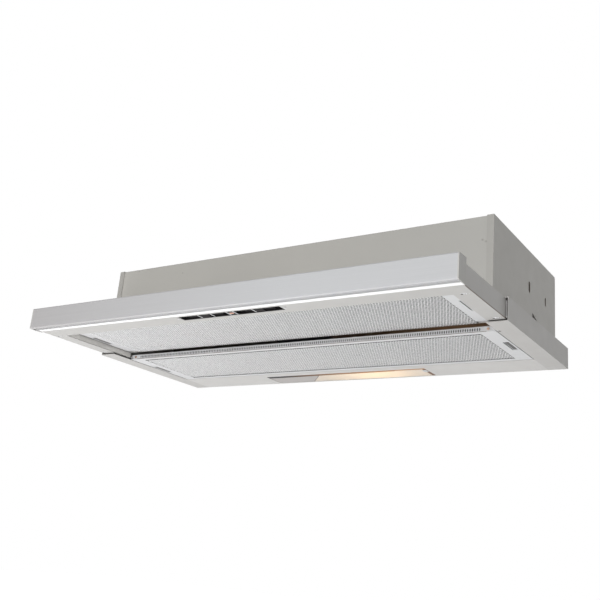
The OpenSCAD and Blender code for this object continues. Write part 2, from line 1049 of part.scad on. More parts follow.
// The two long rails, folded round the mesh
module filter_rails(y, z) {
    half = filter_x - cap_w;
    color([0.8, 0.8, 0.81])
        along_x(-half, half)
            for (rear = [0, 1])
                translate([y + rear * filter_d, z])
                    mirror([rear, 0])
                        polygon([
                            [0, 0],
                            [rail_w, 0],
                            [rail_w, cap_wall],
                            [cap_wall, cap_wall],
                            [cap_wall, filter_h - cap_wall],
                            [rail_w, filter_h - cap_wall],
                            [rail_w, filter_h],
                            [0, filter_h]]);
}

// The solid end caps, with a pocket for each latch
module filter_caps(y, z, ramp) {
    color([0.81, 0.81, 0.82])
        for (side = [-1, 1])
            on_side(side)
                difference() {
                    along_x(filter_x - cap_w, filter_x)
                        polygon([
                            [y, z],
                            [y + filter_d - ramp_d, z],
                            [y + filter_d, z + ramp],
                            [y + filter_d, z + filter_h],
                            [y, z + filter_h]]);
                    translate([filter_x, y + filter_d / 2, z]) {
                        between(latch_z - latch_play, latch_z + latch_t + latch_play)
                            rect([-latch_in - latch_travel - fine, -latch_d / 2 - fine],
                                [over, latch_d / 2 + fine]);
                        between(-over, latch_z)
                            rect([-latch_in + latch_window_x, -latch_d / 2 + gap],
                                [-latch_rim, latch_d / 2 - gap]);
                    }
                }
}

// The two studs on the front face of the rear filter
module rear_filter_studs() {
    color([0.72, 0.45, 0.28])
        for (side = [-1, 1])
            translate([side * (filter_x - stud_in), 0, rear_filter_z + filter_h / 2])
                along_y(rear_filter_front - stud_h, rear_filter_front)
                    circle(stud_r);
}

// The pleated pack of mesh between the rails
module filter_mesh(y, z) {
    low = cap_wall + mesh_play;
    high = filter_h - cap_wall - mesh_play - pleat_t;
    from = cap_wall + mesh_play;
    pitch = (filter_d - 2 * from) / (2 * pleats);
    ridge = [for (i = [0 : 2 * pleats]) [from + i * pitch, i % 2 == 0 ? low : high]];
    color([0.84, 0.84, 0.84])
        along_x(cap_w - filter_x, filter_x - cap_w)
            translate([y, z])
                polygon(concat(ridge,
                    [for (i = [2 * pleats : -1 : 0]) ridge[i] + [0, pleat_t]]));
}

// The sliding latch in a filter's end cap
module filter_latch(side, y, z) {
    color([0.72, 0.72, 0.73])
        on_side(side)
            translate([filter_x, y + filter_d / 2, z])
                between(latch_z, latch_z + latch_t)
                    difference() {
                        union() {
                            rect([-latch_in, -latch_d / 2], [0, latch_d / 2]);
                            rect([-gap, -latch_bolt_w / 2], [latch_bolt, latch_bolt_w / 2]);
                        }
                        rect([-latch_rim - latch_grip_w, -latch_d * latch_grip_share],
                            [-latch_rim, latch_d * latch_grip_share]);
                        translate([latch_window_x - latch_in, 0])
                            rect([0, -latch_d * latch_grip_share],
                                [latch_groove_w, latch_d * latch_grip_share]);
                    }
}

// Runners, from the panel outwards

module runner_outers() {
    color([0.66, 0.67, 0.68])
        for (side = [-1, 1])
            on_side(side)
                along_y(front + runner_front, front + runner_front + runner_len)
                    channel_shape(house_x, house_x + runner_out_x, runner_z, runner_h);
}

module runner_middle(side) {
    low = runner_z + runner_step;
    tall = runner_h - 2 * runner_step;
    start = front + 2 * runner_front - travel / 2;
    color([0.6, 0.61, 0.63])
        on_side(side) {
            along_y(start, start + runner_mid_len)
                channel_shape(house_x + runner_mid_x, house_x + runner_mid_reach, low, tall);
            for (y = [start, start + runner_mid_len - glide_len])
                along_y(y, y + glide_len) {
                    rect([house_x + runner_t + fine, low + runner_step],
                        [house_x + runner_mid_x, low + tall - runner_step]);
                    rect([house_x + runner_mid_x + runner_t, low + runner_step],
                        [inner_lip_x - fine, low + tall - runner_step]);
                }
        }
}

module runner_inners() {
    color([0.66, 0.67, 0.68])
        for (side = [-1, 1])
            on_side(side)
                along_y(tray_front + runner_in_front, front + runner_in_rear)
                    channel_shape(visor_x - sheet, inner_lip_x,
                        runner_z + 2 * runner_step, runner_h - 4 * runner_step);
}

// A channel with its back at x_back and its lips reaching to x_lip
module channel_shape(x_back, x_lip, z, h) {
    away = x_lip > x_back ? runner_t : -runner_t;
    polygon([
        [x_back, z],
        [x_lip, z],
        [x_lip, z + runner_t],
        [x_back + away, z + runner_t],
        [x_back + away, z + h - runner_t],
        [x_lip, z + h - runner_t],
        [x_lip, z + h],
        [x_back, z + h]]);
}

// Visor tray

module visor_side(side) {
    color([0.72, 0.71, 0.69])
        on_side(side)
            difference() {
                along_y(tray_front, tray_rear)
                    polygon([
                        [tray_x, tray_z],
                        [visor_x, tray_z],
                        [visor_x, tray_top],
                        [visor_x - sheet - tray_lip, tray_top],
                        [visor_x - sheet - tray_lip, tray_top - sheet],
                        [visor_x - sheet, tray_top - sheet],
                        [visor_x - sheet, tray_z + sheet],
                        [tray_x + sheet, tray_z + sheet],
                        [tray_x + sheet, bar_top],
                        [tray_x, bar_top]]);
                along_x(tray_x - over, tray_x + sheet + over)
                    translate([front_filter_y + filter_d / 2, front_filter_z + latch_z + latch_t / 2])
                        square([latch_bolt_w + 2 * gap, latch_t + 2 * fine], center = true);
            }
}

module visor_front_bar() {
    web_y = front_filter_y - filter_play;
    color([0.78, 0.77, 0.75])
        difference() {
            along_x(-tray_x, tray_x)
                union() {
                    rect([tray_front, tray_z], [tray_front + front_flange_d, tray_z + sheet]);
                    rect([web_y - sheet, tray_z], [web_y, bar_top]);
                    rect([web_y - sheet, lip_z], [web_y + bar_lip, bar_top]);
                }
            between(tray_z - over, tray_z + over)
                rect([control_x - control_w / 2, control_y],
                    [control_x + control_w / 2, control_y + control_d]);
            bezel_screw_places()
                cylinder(r = bezel_screw_r, h = 2 * over, center = true);
        }
}

module visor_rear_bar() {
    color([0.72, 0.71, 0.69])
        along_x(-tray_x, tray_x)
            polygon([
                [tray_rear - sheet, bar_foot],
                [tray_rear, bar_foot],
                [tray_rear, bar_top],
                [tray_rear - sheet - bar_lip, bar_top],
                [tray_rear - sheet - bar_lip, lip_z],
                [tray_rear - sheet, lip_z]]);
}

// The outline of the fascia's end, with its two front corners rounded
module fascia_outline() {
    r = fascia_round;
    rect([fascia_front, fascia_z + r], [tray_front, fascia_top - r]);
    rect([fascia_front + r, fascia_z], [tray_front, fascia_top]);
    for (z = [fascia_z + r, fascia_top - r])
        translate([fascia_front + r, z])
            circle(r);
}

module fascia() {
    w = fascia_wall;
    color([0.78, 0.78, 0.78])
        along_x(end_cap_t - fascia_x, fascia_x - end_cap_t)
            difference() {
                fascia_outline();
                rect([fascia_front + w, fascia_z + w], [tray_front - w, fascia_top - w]);
                rect([fascia_front + lip_d, fascia_z - over], [tray_front - w, fascia_z + 2 * w]);
                rect([fascia_front + lip_d, fascia_z - over], [tray_front + over, tray_z]);
            }
}

module fascia_ends() {
    color([0.6, 0.59, 0.57])
        for (side = [-1, 1])
            on_side(side)
                along_x(fascia_x - end_cap_t, fascia_x)
                    fascia_outline();
}

module grip_strip() {
    color([0.95, 0.95, 0.95])
        along_x(end_cap_t - fascia_x, fascia_x - end_cap_t)
            polygon([
                [strip_front, fascia_z],
                [tray_front + strip_rear_lap, fascia_z],
                [tray_front + strip_rear_lap, tray_z],
                [strip_front + gap, tray_z],
                [strip_front + gap, fascia_z + strip_h],
                [strip_front, fascia_z + strip_h]]);
}

// Controls

// The two slider windows, as the left and right ends of each
function window_ends(side) = side < 0
    ? [control_x - control_w / 2 + control_wall, control_x + middle_x - middle_w / 2]
    : [control_x + middle_x + middle_w / 2, control_x + control_w / 2 - control_wall];

// The middle of a slider window along the hood
function window_middle(side) = (window_ends(side)[0] + window_ends(side)[1]) / 2;

// The two screws beside the control panel
module bezel_screw_places() {
    for (side = [-1, 1])
        translate([control_x + side * (control_w / 2 + ear_w / 2), control_y + control_d / 2, tray_z])
            children();
}

module bezel_screws() {
    color([0.75, 0.75, 0.76])
        bezel_screw_places() {
            cylinder(r = bezel_screw_r, h = sheet + ear_t);
            translate([0, 0, -bezel_head_h])
                cylinder(r = bezel_head_r, h = bezel_head_h);
        }
}

module control_panel() {
    color([0.1, 0.1, 0.1])
        difference() {
            union() {
                between(tray_z, tray_z + control_h)
                    rect([control_x - control_w / 2 + fine / 2, control_y + fine / 2],
                        [control_x + control_w / 2 - fine / 2, control_y + control_d - fine / 2]);
                between(tray_z + sheet, tray_z + sheet + ear_t)
                    rect([control_x - control_w / 2 - ear_w, control_y + ear_in],
                        [control_x + control_w / 2 + ear_w, control_y + control_d - ear_in]);
            }
            bezel_screw_places()
                cylinder(r = bezel_screw_r, h = 2 * over, center = true);
            for (side = [-1, 1]) {
                between(tray_z - over, tray_z + slider_roof)
                    rect([window_ends(side)[0], control_y + control_wall + groove_d],
                        [window_ends(side)[1], control_y + control_d - control_wall - groove_d]);
                between(tray_z + knob_t - fine, tray_z + slider_roof)
                    rect([window_ends(side)[0], control_y + control_wall],
                        [window_ends(side)[1], control_y + control_d - control_wall]);
            }
            translate([control_x + middle_x, control_y + control_d / 2, 0])
                between(tray_z - over, tray_z + knob_t)
                    square([indicator_w, indicator_d], center = true);
        }
}

module slider(side, reach) {
    half = (window_ends(side)[1] - window_ends(side)[0]) / 2 - reach - gap;
    wing = control_d / 2 - control_wall - fine;
    color([0.14, 0.14, 0.15])
        translate([window_middle(side), control_y + control_d / 2, 0]) {
            between(tray_z + knob_t, tray_z + slider_roof - fine)
                rect([-half, -wing], [half, wing]);
            between(tray_z + knob_foot, tray_z + knob_t)
                rect([-knob_w / 2, groove_d - wing], [knob_w / 2, wing - groove_d]);
        }
}

module indicator() {
    color([0.9, 0.55, 0.4])
        translate([control_x + middle_x, control_y + control_d / 2, 0])
            between(tray_z + fine, tray_z + knob_t)
                square([indicator_w, indicator_d], center = true);
}

side_panel(-1);  // left_side_panel
side_panel(1);  // right_side_panel
front_plate();
back_panel();
top_plate();
frame_channel(-1);  // left_frame_channel
frame_channel(1);  // right_frame_channel
rear_strip();
duct_spigot();
spigot_screws();
flap_pin();
flap(-1, [knuckle_shares[0], knuckle_shares[2]]);  // front_flap
flap(1, [knuckle_shares[1], knuckle_shares[3]]);  // rear_flap
scroll_wrap();
scroll_cheeks();
blower_wheel();
motor_shaft();
motor();
motor_bearings();
motor_bracket();
motor_mounts();
terminal_box();
terminal_box_lid();
cable_gland();
capacitor();
capacitor_clip();
visor_switch();
switch_plunger();
lamp_housing();
reflector();
lamp_glass();
lamp_holder();
bulb();
filter_rails(rear_filter_front, rear_filter_z);  // rear_filter_rails
filter_caps(rear_filter_front, rear_filter_z, 0);  // rear_filter_caps
filter_mesh(rear_filter_front, rear_filter_z);  // rear_filter_mesh
rear_filter_studs();
filter_latch(-1, rear_filter_front, rear_filter_z);  // rear_latch_left
filter_latch(1, rear_filter_front, rear_filter_z);  // rear_latch_right
runner_outers();
runner_middle(-1);  // runner_middle_left
runner_middle(1);  // runner_middle_right
runner_inners();
visor_side(-1);  // visor_side_left
visor_side(1);  // visor_side_right
visor_front_bar();
visor_rear_bar();
fascia();
fascia_ends();
grip_strip();
filter_rails(front_filter_y, front_filter_z);  // front_filter_rails
filter_caps(front_filter_y, front_filter_z, ramp_h);  // front_filter_caps
filter_mesh(front_filter_y, front_filter_z);  // front_filter_mesh
filter_latch(-1, front_filter_y, front_filter_z);  // front_latch_left
filter_latch(1, front_filter_y, front_filter_z);  // front_latch_right
control_panel();
bezel_screws();
slider(-1, light_travel);  // light_slider
slider(1, speed_travel);  // speed_slider
indicator();
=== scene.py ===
# %% [markdown]
# A pull out range hood, dressed for its photograph.
# The CAD parts arrive as a fixed frame: their shapes and places are final, and this script
# only gives them finishes, adds the fine pieces that are too small for CAD, and sets the
# camera, the floor and the lights. All lengths are in metres, X runs along the hood, Y from
# the cook to the wall and Z up, and the origin is the middle of the wall face, level with
# the underside.

# %% Load the frame
import math
import bmesh
import bpy
from mathutils import Matrix, Vector


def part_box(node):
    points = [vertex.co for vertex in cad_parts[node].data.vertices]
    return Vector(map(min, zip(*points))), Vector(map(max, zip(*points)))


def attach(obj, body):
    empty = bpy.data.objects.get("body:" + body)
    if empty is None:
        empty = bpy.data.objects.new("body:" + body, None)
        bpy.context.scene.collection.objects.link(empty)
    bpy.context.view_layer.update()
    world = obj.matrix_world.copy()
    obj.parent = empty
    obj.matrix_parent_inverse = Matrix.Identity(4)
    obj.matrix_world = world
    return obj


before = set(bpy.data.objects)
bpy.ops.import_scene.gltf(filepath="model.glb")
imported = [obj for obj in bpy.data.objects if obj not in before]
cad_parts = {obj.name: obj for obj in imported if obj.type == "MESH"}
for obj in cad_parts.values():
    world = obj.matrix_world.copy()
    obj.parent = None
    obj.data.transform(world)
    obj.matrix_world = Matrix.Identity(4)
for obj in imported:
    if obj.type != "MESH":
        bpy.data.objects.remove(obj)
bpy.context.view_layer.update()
MM = 0.001
scene = bpy.context.scene

# %% [markdown]
# The camera. The photograph looks up at the hood from the cook's right, from below its
# edge. A camera could be turned by eye until edges match, but a fitted one is exact: its
# place and its forward and up directions were solved from the hood's corners, so the script
# only has to turn them into a matrix. No shift and no blur are needed.

# %% Camera
SENSOR_WIDTH = 36
LENS = 50.42
EYE = Vector((0.8901, -1.5409, -0.3957))
FORWARD = Vector((-0.5403, 0.7852, 0.3026)).normalized()
UP_HINT = Vector((0.0955, -0.3001, 0.9491))

rightward = FORWARD.cross(UP_HINT).normalized()
upward = rightward.cross(FORWARD)
camera_data = bpy.data.cameras.new("camera")
camera_data.sensor_width = SENSOR_WIDTH
camera_data.lens = LENS
camera = bpy.data.objects.new("camera", camera_data)
camera.matrix_world = Matrix((
    (rightward.x, upward.x, -FORWARD.x, EYE.x),
    (rightward.y, upward.y, -FORWARD.y, EYE.y),
    (rightward.z, upward.z, -FORWARD.z, EYE.z),
    (0, 0, 0, 1)))
scene.collection.objects.link(camera)
scene.camera = camera
print("camera", [round(v, 3) for v in EYE], "lens", LENS)

# %% [markdown]
# Node materials are built with a few small helpers. `make` starts a material on the
# Principled shader and sets what is the same everywhere straight on its sockets. `grain`
# gives a noise texture in the piece's own coordinates, stretched if a direction is given,
# so the pattern stays on the metal from every side. `along_hood` runs from 0 to 1 between
# two places in X, `spread` and `blend_colours` turn a factor into a value or a colour, and
# `relief` turns a texture into bump.

# %% Material helpers
def make(name, colour, roughness, metallic=0.0, sockets=None):
    material = bpy.data.materials.new(name)
    material.use_nodes = True
    shader = material.node_tree.nodes["Principled BSDF"]
    shader.inputs["Base Color"].default_value = (*colour, 1)
    shader.inputs["Roughness"].default_value = roughness
    shader.inputs["Metallic"].default_value = metallic
    for key, value in (sockets or {}).items():
        shader.inputs[key].default_value = value
    return material


def node(material, kind, inputs=None, **settings):
    made = material.node_tree.nodes.new(kind)
    for key, value in settings.items():
        setattr(made, key, value)
    for key, value in (inputs or {}).items():
        if isinstance(value, bpy.types.NodeSocket):
            material.node_tree.links.new(value, made.inputs[key])
        else:
            made.inputs[key].default_value = value
    return made


def shader_of(material):
    return material.node_tree.nodes["Principled BSDF"]


def feed(material, socket, source):
    material.node_tree.links.new(source, shader_of(material).inputs[socket])


def place(material, stretch=(1, 1, 1), turn=(0, 0, 0)):
    where = node(material, "ShaderNodeTexCoord").outputs["Object"]
    return node(material, "ShaderNodeMapping",
                {"Vector": where, "Scale": stretch, "Rotation": turn}).outputs["Vector"]


def grain(material, scale, detail=2.0, stretch=(1, 1, 1), turn=(0, 0, 0)):
    return node(material, "ShaderNodeTexNoise",
                {"Vector": place(material, stretch, turn), "Scale": scale,
                 "Detail": detail}).outputs["Fac"]


def blend_colours(material, factor, dark, light, low=0.3, high=0.7):
    ramp = node(material, "ShaderNodeValToRGB", {"Fac": factor})
    ramp.color_ramp.elements[0].position = low
    ramp.color_ramp.elements[0].color = (*dark, 1)
    ramp.color_ramp.elements[1].position = high
    ramp.color_ramp.elements[1].color = (*light, 1)
    return ramp.outputs["Color"]


def spread(material, factor, low, high, from_low=0.3, from_high=0.7):
    return node(material, "ShaderNodeMapRange",
                {"Value": factor, "From Min": from_low, "From Max": from_high,
                 "To Min": low, "To Max": high}).outputs["Result"]


def along_hood(material, low, high):
    where = node(material, "ShaderNodeTexCoord").outputs["Object"]
    parts = node(material, "ShaderNodeSeparateXYZ", {"Vector": where})
    return spread(material, parts.outputs["X"], 0.0, 1.0, low, high)


def relief(material, height, strength, depth):
    bump = node(material, "ShaderNodeBump",
                {"Height": height, "Strength": strength, "Distance": depth})
    feed(material, "Normal", bump.outputs["Normal"])


def shade(colour, by):
    return tuple(min(1.0, c * by) for c in colour)

# %% [markdown]
# Painted sheet steel. The housing and the frame are powder coated: a satin film that
# melted and set, which leaves a faint orange peel, about a millimetre across, and a colour
# that drifts by a few per cent over the panel. A flat colour would look like plastic, so a
# fine noise drives the relief, a broad one the colour and a medium one the roughness.

# %% Painted sheet
def painted_sheet(name, colour, roughness=0.42):
    material = make(name, colour, roughness, sockets={"Specular IOR Level": 0.4})
    broad = grain(material, 5.0, 3.0)
    feed(material, "Base Color",
         blend_colours(material, broad, shade(colour, 0.965), shade(colour, 1.03)))
    feed(material, "Roughness",
         spread(material, grain(material, 40.0), roughness - 0.04, roughness + 0.05))
    relief(material, grain(material, 850.0, 1.0), 0.12, 0.0003)
    return material


housing_paint = painted_sheet("housing_paint", (0.405, 0.395, 0.37))
plate_paint = painted_sheet("plate_paint", (0.44, 0.432, 0.405), 0.38)
frame_paint = painted_sheet("frame_paint", (0.435, 0.425, 0.41))
strip_paint = painted_sheet("strip_paint", (0.52, 0.51, 0.495))
visor_paint = painted_sheet("visor_paint", (0.43, 0.422, 0.408))

# %% [markdown]
# Metals. Drawn and anodised aluminium has hair-fine lines along the hood, so its noise is
# stretched a few hundred times in X. Galvanised sheet has spangles, flat crystals of zinc
# that each mirror a little differently: Voronoi cells give those. Turned and plated parts
# are bright with faint scuffs. The two long front faces also get painted light along the
# hood, for the room they mirror: the fascia's colour is darkened towards its left end as
# painted shade, and the front plate's is brightened there as painted light.

# %% Metals
def drawn_aluminium(name, colour, roughness, metallic, lines=0.10):
    material = make(name, colour, roughness, metallic)
    fine = grain(material, 1.0, 3.0, stretch=(4, 1600, 1600))
    feed(material, "Base Color",
         blend_colours(material, fine, shade(colour, 0.96), shade(colour, 1.03)))
    feed(material, "Roughness",
         spread(material, grain(material, 12.0, 2.0, stretch=(0.3, 6, 6)),
                roughness - 0.04, roughness + 0.04))
    relief(material, fine, lines, 0.0002)
    return material


MIX_FACTOR, MIX_A, MIX_B, MIX_RESULT = 0, 6, 7, 2


# Multiplies a colour by a tint that runs along the hood: painted light and shade.
def paint_light_along(material, low, high, left_tint, right_tint):
    base = shader_of(material).inputs["Base Color"].links[0].from_socket
    tint = blend_colours(material, along_hood(material, low, high), left_tint, right_tint,
                         0.0, 1.0)
    both = node(material, "ShaderNodeMix", {MIX_FACTOR: 1.0, MIX_A: base, MIX_B: tint},
                data_type="RGBA", blend_type="MULTIPLY")
    feed(material, "Base Color", both.outputs[MIX_RESULT])


def galvanised_sheet(name, colour, roughness=0.38):
    material = make(name, colour, roughness, 0.85)
    cells = node(material, "ShaderNodeTexVoronoi",
                 {"Vector": place(material), "Scale": 160.0}).outputs["Color"]
    tone = node(material, "ShaderNodeSeparateColor", {"Color": cells}).outputs["Red"]
    feed(material, "Base Color",
         blend_colours(material, tone, shade(colour, 0.86), shade(colour, 1.1), 0.1, 0.9))
    feed(material, "Roughness", spread(material, tone, roughness - 0.1, roughness + 0.12, 0, 1))
    relief(material, grain(material, 300.0), 0.08, 0.0002)
    return material


def bright_metal(name, colour, roughness=0.28):
    material = make(name, colour, roughness, 1.0)
    scuffs = grain(material, 420.0, 4.0, stretch=(1, 1, 3))
    feed(material, "Base Color",
         blend_colours(material, scuffs, shade(colour, 0.88), shade(colour, 1.06)))
    feed(material, "Roughness", spread(material, scuffs, roughness - 0.06, roughness + 0.12))
    relief(material, scuffs, 0.06, 0.0001)
    return material


fascia_aluminium = drawn_aluminium("fascia_aluminium", (0.415, 0.42, 0.43), 0.5, 0.0, 0.05)
# Painted shade: the fascia darkens towards its left end.
paint_light_along(fascia_aluminium, -0.45, 0.15, (0.85, 0.82, 0.805), (1.0, 1.0, 1.0))
# Painted light: the front plate brightens towards its left end.
paint_light_along(plate_paint, 0.0, 0.35, (1.11, 1.10, 1.09), (1.0, 1.0, 1.0))
cap_aluminium = drawn_aluminium("cap_aluminium", (0.57, 0.573, 0.58), 0.42, 0.1)
# Painted shade: the front filter's rails are dark, for the shade along that filter's edges.
rail_aluminium = drawn_aluminium("rail_aluminium", (0.16, 0.155, 0.15), 0.5, 0.2)
reflector_aluminium = drawn_aluminium("reflector_aluminium", (0.86, 0.85, 0.83), 0.16, 0.95)
runner_zinc = galvanised_sheet("runner_zinc", (0.5, 0.51, 0.52))
bracket_zinc = galvanised_sheet("bracket_zinc", (0.48, 0.48, 0.49))
lamp_zinc = galvanised_sheet("lamp_zinc", (0.55, 0.54, 0.52), 0.5)
screw_steel = bright_metal("screw_steel", (0.62, 0.62, 0.63))
shaft_steel = bright_metal("shaft_steel", (0.55, 0.55, 0.57), 0.2)
latch_steel = drawn_aluminium("latch_steel", (0.50, 0.503, 0.51), 0.42, 0.1)
copper = bright_metal("copper", (0.55, 0.38, 0.29), 0.35)
bronze = bright_metal("bronze", (0.52, 0.38, 0.18), 0.4)

# %% [markdown]
# The filters' mesh. Expanded aluminium is slit and pulled open, so every strand is a little
# twisted and catches the light at its own angle. The strands are real geometry further on,
# and this finish only has to make them differ: a fine noise moves both tone and roughness
# from strand to strand.

# %% Mesh aluminium
def strand_aluminium(name, colour):
    material = make(name, colour, 0.42, 0.3)
    strands = grain(material, 260.0, 2.0)
    feed(material, "Base Color",
         blend_colours(material, strands, shade(colour, 0.88), shade(colour, 1.08)))
    feed(material, "Roughness", spread(material, strands, 0.34, 0.55))
    relief(material, grain(material, 900.0), 0.1, 0.0002)
    return material


mesh_aluminium = strand_aluminium("mesh_aluminium", (0.97, 0.97, 0.975))
# Painted shade: the pack behind the outer sheet is dark, for the shade seen through the holes.
pack_aluminium = strand_aluminium("pack_aluminium", (0.22, 0.22, 0.222))

# %% [markdown]
# Plastics and rubber. Moulded plastic carries the spark texture of its tool, a fine even
# grain of about a third of a millimetre, with flow marks that only show in the roughness.
# The grip strip is polished white, and the rubber mounts are dull and rougher than the rest.

# %% Plastics
def moulded_plastic(name, colour, roughness, grain_depth=0.10):
    material = make(name, colour, roughness)
    flow = grain(material, 30.0, 3.0)
    feed(material, "Base Color",
         blend_colours(material, flow, shade(colour, 0.94), shade(colour, 1.05)))
    feed(material, "Roughness", spread(material, flow, roughness - 0.05, roughness + 0.06))
    relief(material, grain(material, 2600.0, 1.0), grain_depth, 0.0001)
    return material


black_plastic = moulded_plastic("black_plastic", (0.012, 0.011, 0.011), 0.5)
knob_plastic = moulded_plastic("knob_plastic", (0.010, 0.009, 0.009), 0.7)
for matt_plastic in (black_plastic, knob_plastic):
    shader_of(matt_plastic).inputs["Specular IOR Level"].default_value = 0.15
grey_plastic = moulded_plastic("grey_plastic", (0.07, 0.07, 0.075), 0.5)
wheel_plastic = moulded_plastic("wheel_plastic", (0.035, 0.035, 0.038), 0.45)
white_plastic = moulded_plastic("white_plastic", (0.72, 0.72, 0.69), 0.45)
end_plastic = moulded_plastic("end_plastic", (0.40, 0.395, 0.375), 0.4)
strip_plastic = moulded_plastic("strip_plastic", (0.93, 0.935, 0.94), 0.2, 0.03)
red_plastic = moulded_plastic("red_plastic", (0.55, 0.05, 0.03), 0.35)
indicator_plastic = moulded_plastic("indicator_plastic", (0.78, 0.42, 0.30), 0.25, 0.05)
holder_ceramic = moulded_plastic("holder_ceramic", (0.8, 0.78, 0.72), 0.3, 0.05)
motor_enamel = painted_sheet("motor_enamel", (0.33, 0.33, 0.32), 0.5)
mount_rubber = moulded_plastic("mount_rubber", (0.025, 0.025, 0.025), 0.75, 0.2)

# %% [markdown]
# The lamp. Its bulb is frosted and lit, so it is a warm emitter, and the cover in front is
# a rough glass that scatters the light sideways. A renderer would need very many samples to
# find a small bulb through rough glass, so the cover also glows a little by itself where
# the bulb is behind it: the glow falls off with the distance from the bulb in the piece's
# own coordinates, which is what scattering does.

# %% Lamp finishes
BULB_COLOUR = (1.0, 0.70, 0.36, 1)
HALO_COLOUR = (1.0, 0.72, 0.38, 1)
HALO_STRENGTH = 0.20
HALO_SHRINK = Vector((5.5, 9, 0))
bulb_low, bulb_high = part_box("bulb")
bulb_middle = (bulb_low + bulb_high) / 2
GLOW_INSET = 30 * MM
GLOW_AT = Vector((bulb_low.x + GLOW_INSET, bulb_middle.y, 0))

bulb_glow = make("bulb_glow", (1.0, 0.85, 0.6), 0.4)
shader_of(bulb_glow).inputs["Emission Color"].default_value = BULB_COLOUR
frost = grain(bulb_glow, 500.0)
feed(bulb_glow, "Base Color",
     blend_colours(bulb_glow, frost, (0.95, 0.78, 0.5), (1.0, 0.88, 0.66)))
feed(bulb_glow, "Emission Strength", spread(bulb_glow, frost, 1.1, 1.5))
relief(bulb_glow, frost, 0.1, 0.0002)

frosted_glass = make("frosted_glass", (0.93, 0.84, 0.73), 0.4)
shader_of(frosted_glass).inputs["Transmission Weight"].default_value = 0.55
stipple = node(frosted_glass, "ShaderNodeTexVoronoi",
               {"Vector": place(frosted_glass), "Scale": 420.0}).outputs["Distance"]
feed(frosted_glass, "Roughness", spread(frosted_glass, stipple, 0.32, 0.5, 0, 1))
relief(frosted_glass, stipple, 0.35, 0.0004)
spot = node(frosted_glass, "ShaderNodeMapping",
            {"Vector": node(frosted_glass, "ShaderNodeTexCoord").outputs["Object"],
             "Location": -GLOW_AT * HALO_SHRINK, "Scale": HALO_SHRINK})
halo = node(frosted_glass, "ShaderNodeTexGradient",
            {"Vector": spot.outputs["Vector"]}, gradient_type="QUADRATIC_SPHERE")
feed(frosted_glass, "Emission Strength",
     node(frosted_glass, "ShaderNodeMath",
          {0: halo.outputs["Fac"], 1: HALO_STRENGTH}, operation="MULTIPLY").outputs["Value"])
shader_of(frosted_glass).inputs["Emission Color"].default_value = HALO_COLOUR
print("lamp glow at", [round(v, 3) for v in GLOW_AT])

# %% [markdown]
# Every CAD node takes its finish here, in one table from finish to nodes. Nothing is moved:
# only the material slots change.

# %% Finishes on the CAD nodes
FINISHES = [
    (housing_paint, "left_side_panel right_side_panel back_panel top_plate"),
    (plate_paint, "front_plate"),
    (frame_paint, "left_frame_channel right_frame_channel"),
    (strip_paint, "rear_strip"),
    (visor_paint, "visor_side_left visor_side_right visor_front_bar visor_rear_bar"),
    (fascia_aluminium, "fascia"),
    (end_plastic, "fascia_ends"),
    (strip_plastic, "grip_strip"),
    (cap_aluminium, "rear_filter_rails rear_filter_caps front_filter_caps"),
    (rail_aluminium, "front_filter_rails"),
    (pack_aluminium, "rear_filter_mesh front_filter_mesh"),
    (copper, "rear_filter_studs"),
    (latch_steel, "rear_latch_left rear_latch_right front_latch_left front_latch_right"),
    (runner_zinc, "runner_outers runner_middle_left runner_middle_right runner_inners"),
    (black_plastic, "control_panel duct_spigot cable_gland visor_switch"),
    (knob_plastic, "light_slider speed_slider"),
    (grey_plastic, "front_flap rear_flap scroll_wrap scroll_cheeks"),
    (wheel_plastic, "blower_wheel"),
    (white_plastic, "terminal_box terminal_box_lid capacitor"),
    (red_plastic, "switch_plunger"),
    (indicator_plastic, "indicator"),
    (screw_steel, "spigot_screws bezel_screws flap_pin"),
    (shaft_steel, "motor_shaft"),
    (motor_enamel, "motor"),
    (bronze, "motor_bearings"),
    (bracket_zinc, "motor_bracket capacitor_clip"),
    (mount_rubber, "motor_mounts"),
    (lamp_zinc, "lamp_housing"),
    (reflector_aluminium, "reflector"),
    (frosted_glass, "lamp_glass"),
    (holder_ceramic, "lamp_holder"),
    (bulb_glow, "bulb"),
]
finished = set()
for material, names in FINISHES:
    for name in names.split():
        for material_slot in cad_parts[name].material_slots:
            material_slot.material = material
        finished.add(name)
print("finished", len(finished), "left", sorted(set(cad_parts) - finished))

# %% [markdown]
# Geometry Nodes, for what repeats. Each tree is written here with named inputs, run once on
# a small mesh that only holds the starting points, and turned into a plain mesh, so nothing
# live is left on the piece. `tree` makes the group with its inputs, `wire` adds one node,
# and `grow` runs the group and keeps the result.

# %% Geometry Nodes helpers
SOCKETS = {"float": "NodeSocketFloat", "int": "NodeSocketInt", "vector": "NodeSocketVector",
           "material": "NodeSocketMaterial"}


def tree(name, inputs):
    group = bpy.data.node_groups.new(name, "GeometryNodeTree")
    group.interface.new_socket("Geometry", in_out="INPUT", socket_type="NodeSocketGeometry")
    for title, kind in inputs:
        group.interface.new_socket(title, in_out="INPUT", socket_type=SOCKETS[kind])
    group.interface.new_socket("Geometry", in_out="OUTPUT", socket_type="NodeSocketGeometry")
    return group, group.nodes.new("NodeGroupInput").outputs


def wire(group, kind, inputs=None, **settings):
    made = group.nodes.new(kind)
    for key, value in settings.items():
        setattr(made, key, value)
    for key, value in (inputs or {}).items():
        if isinstance(value, bpy.types.NodeSocket):
            group.links.new(value, made.inputs[key])
        else:
            made.inputs[key].default_value = value
    return made


def end(group, geometry, material):
    real = wire(group, "GeometryNodeRealizeInstances", {"Geometry": geometry})
    painted = wire(group, "GeometryNodeSetMaterial",
                   {"Geometry": real.outputs[0], "Material": material})
    out = group.nodes.new("NodeGroupOutput")
    group.links.new(painted.outputs[0], out.inputs[0])


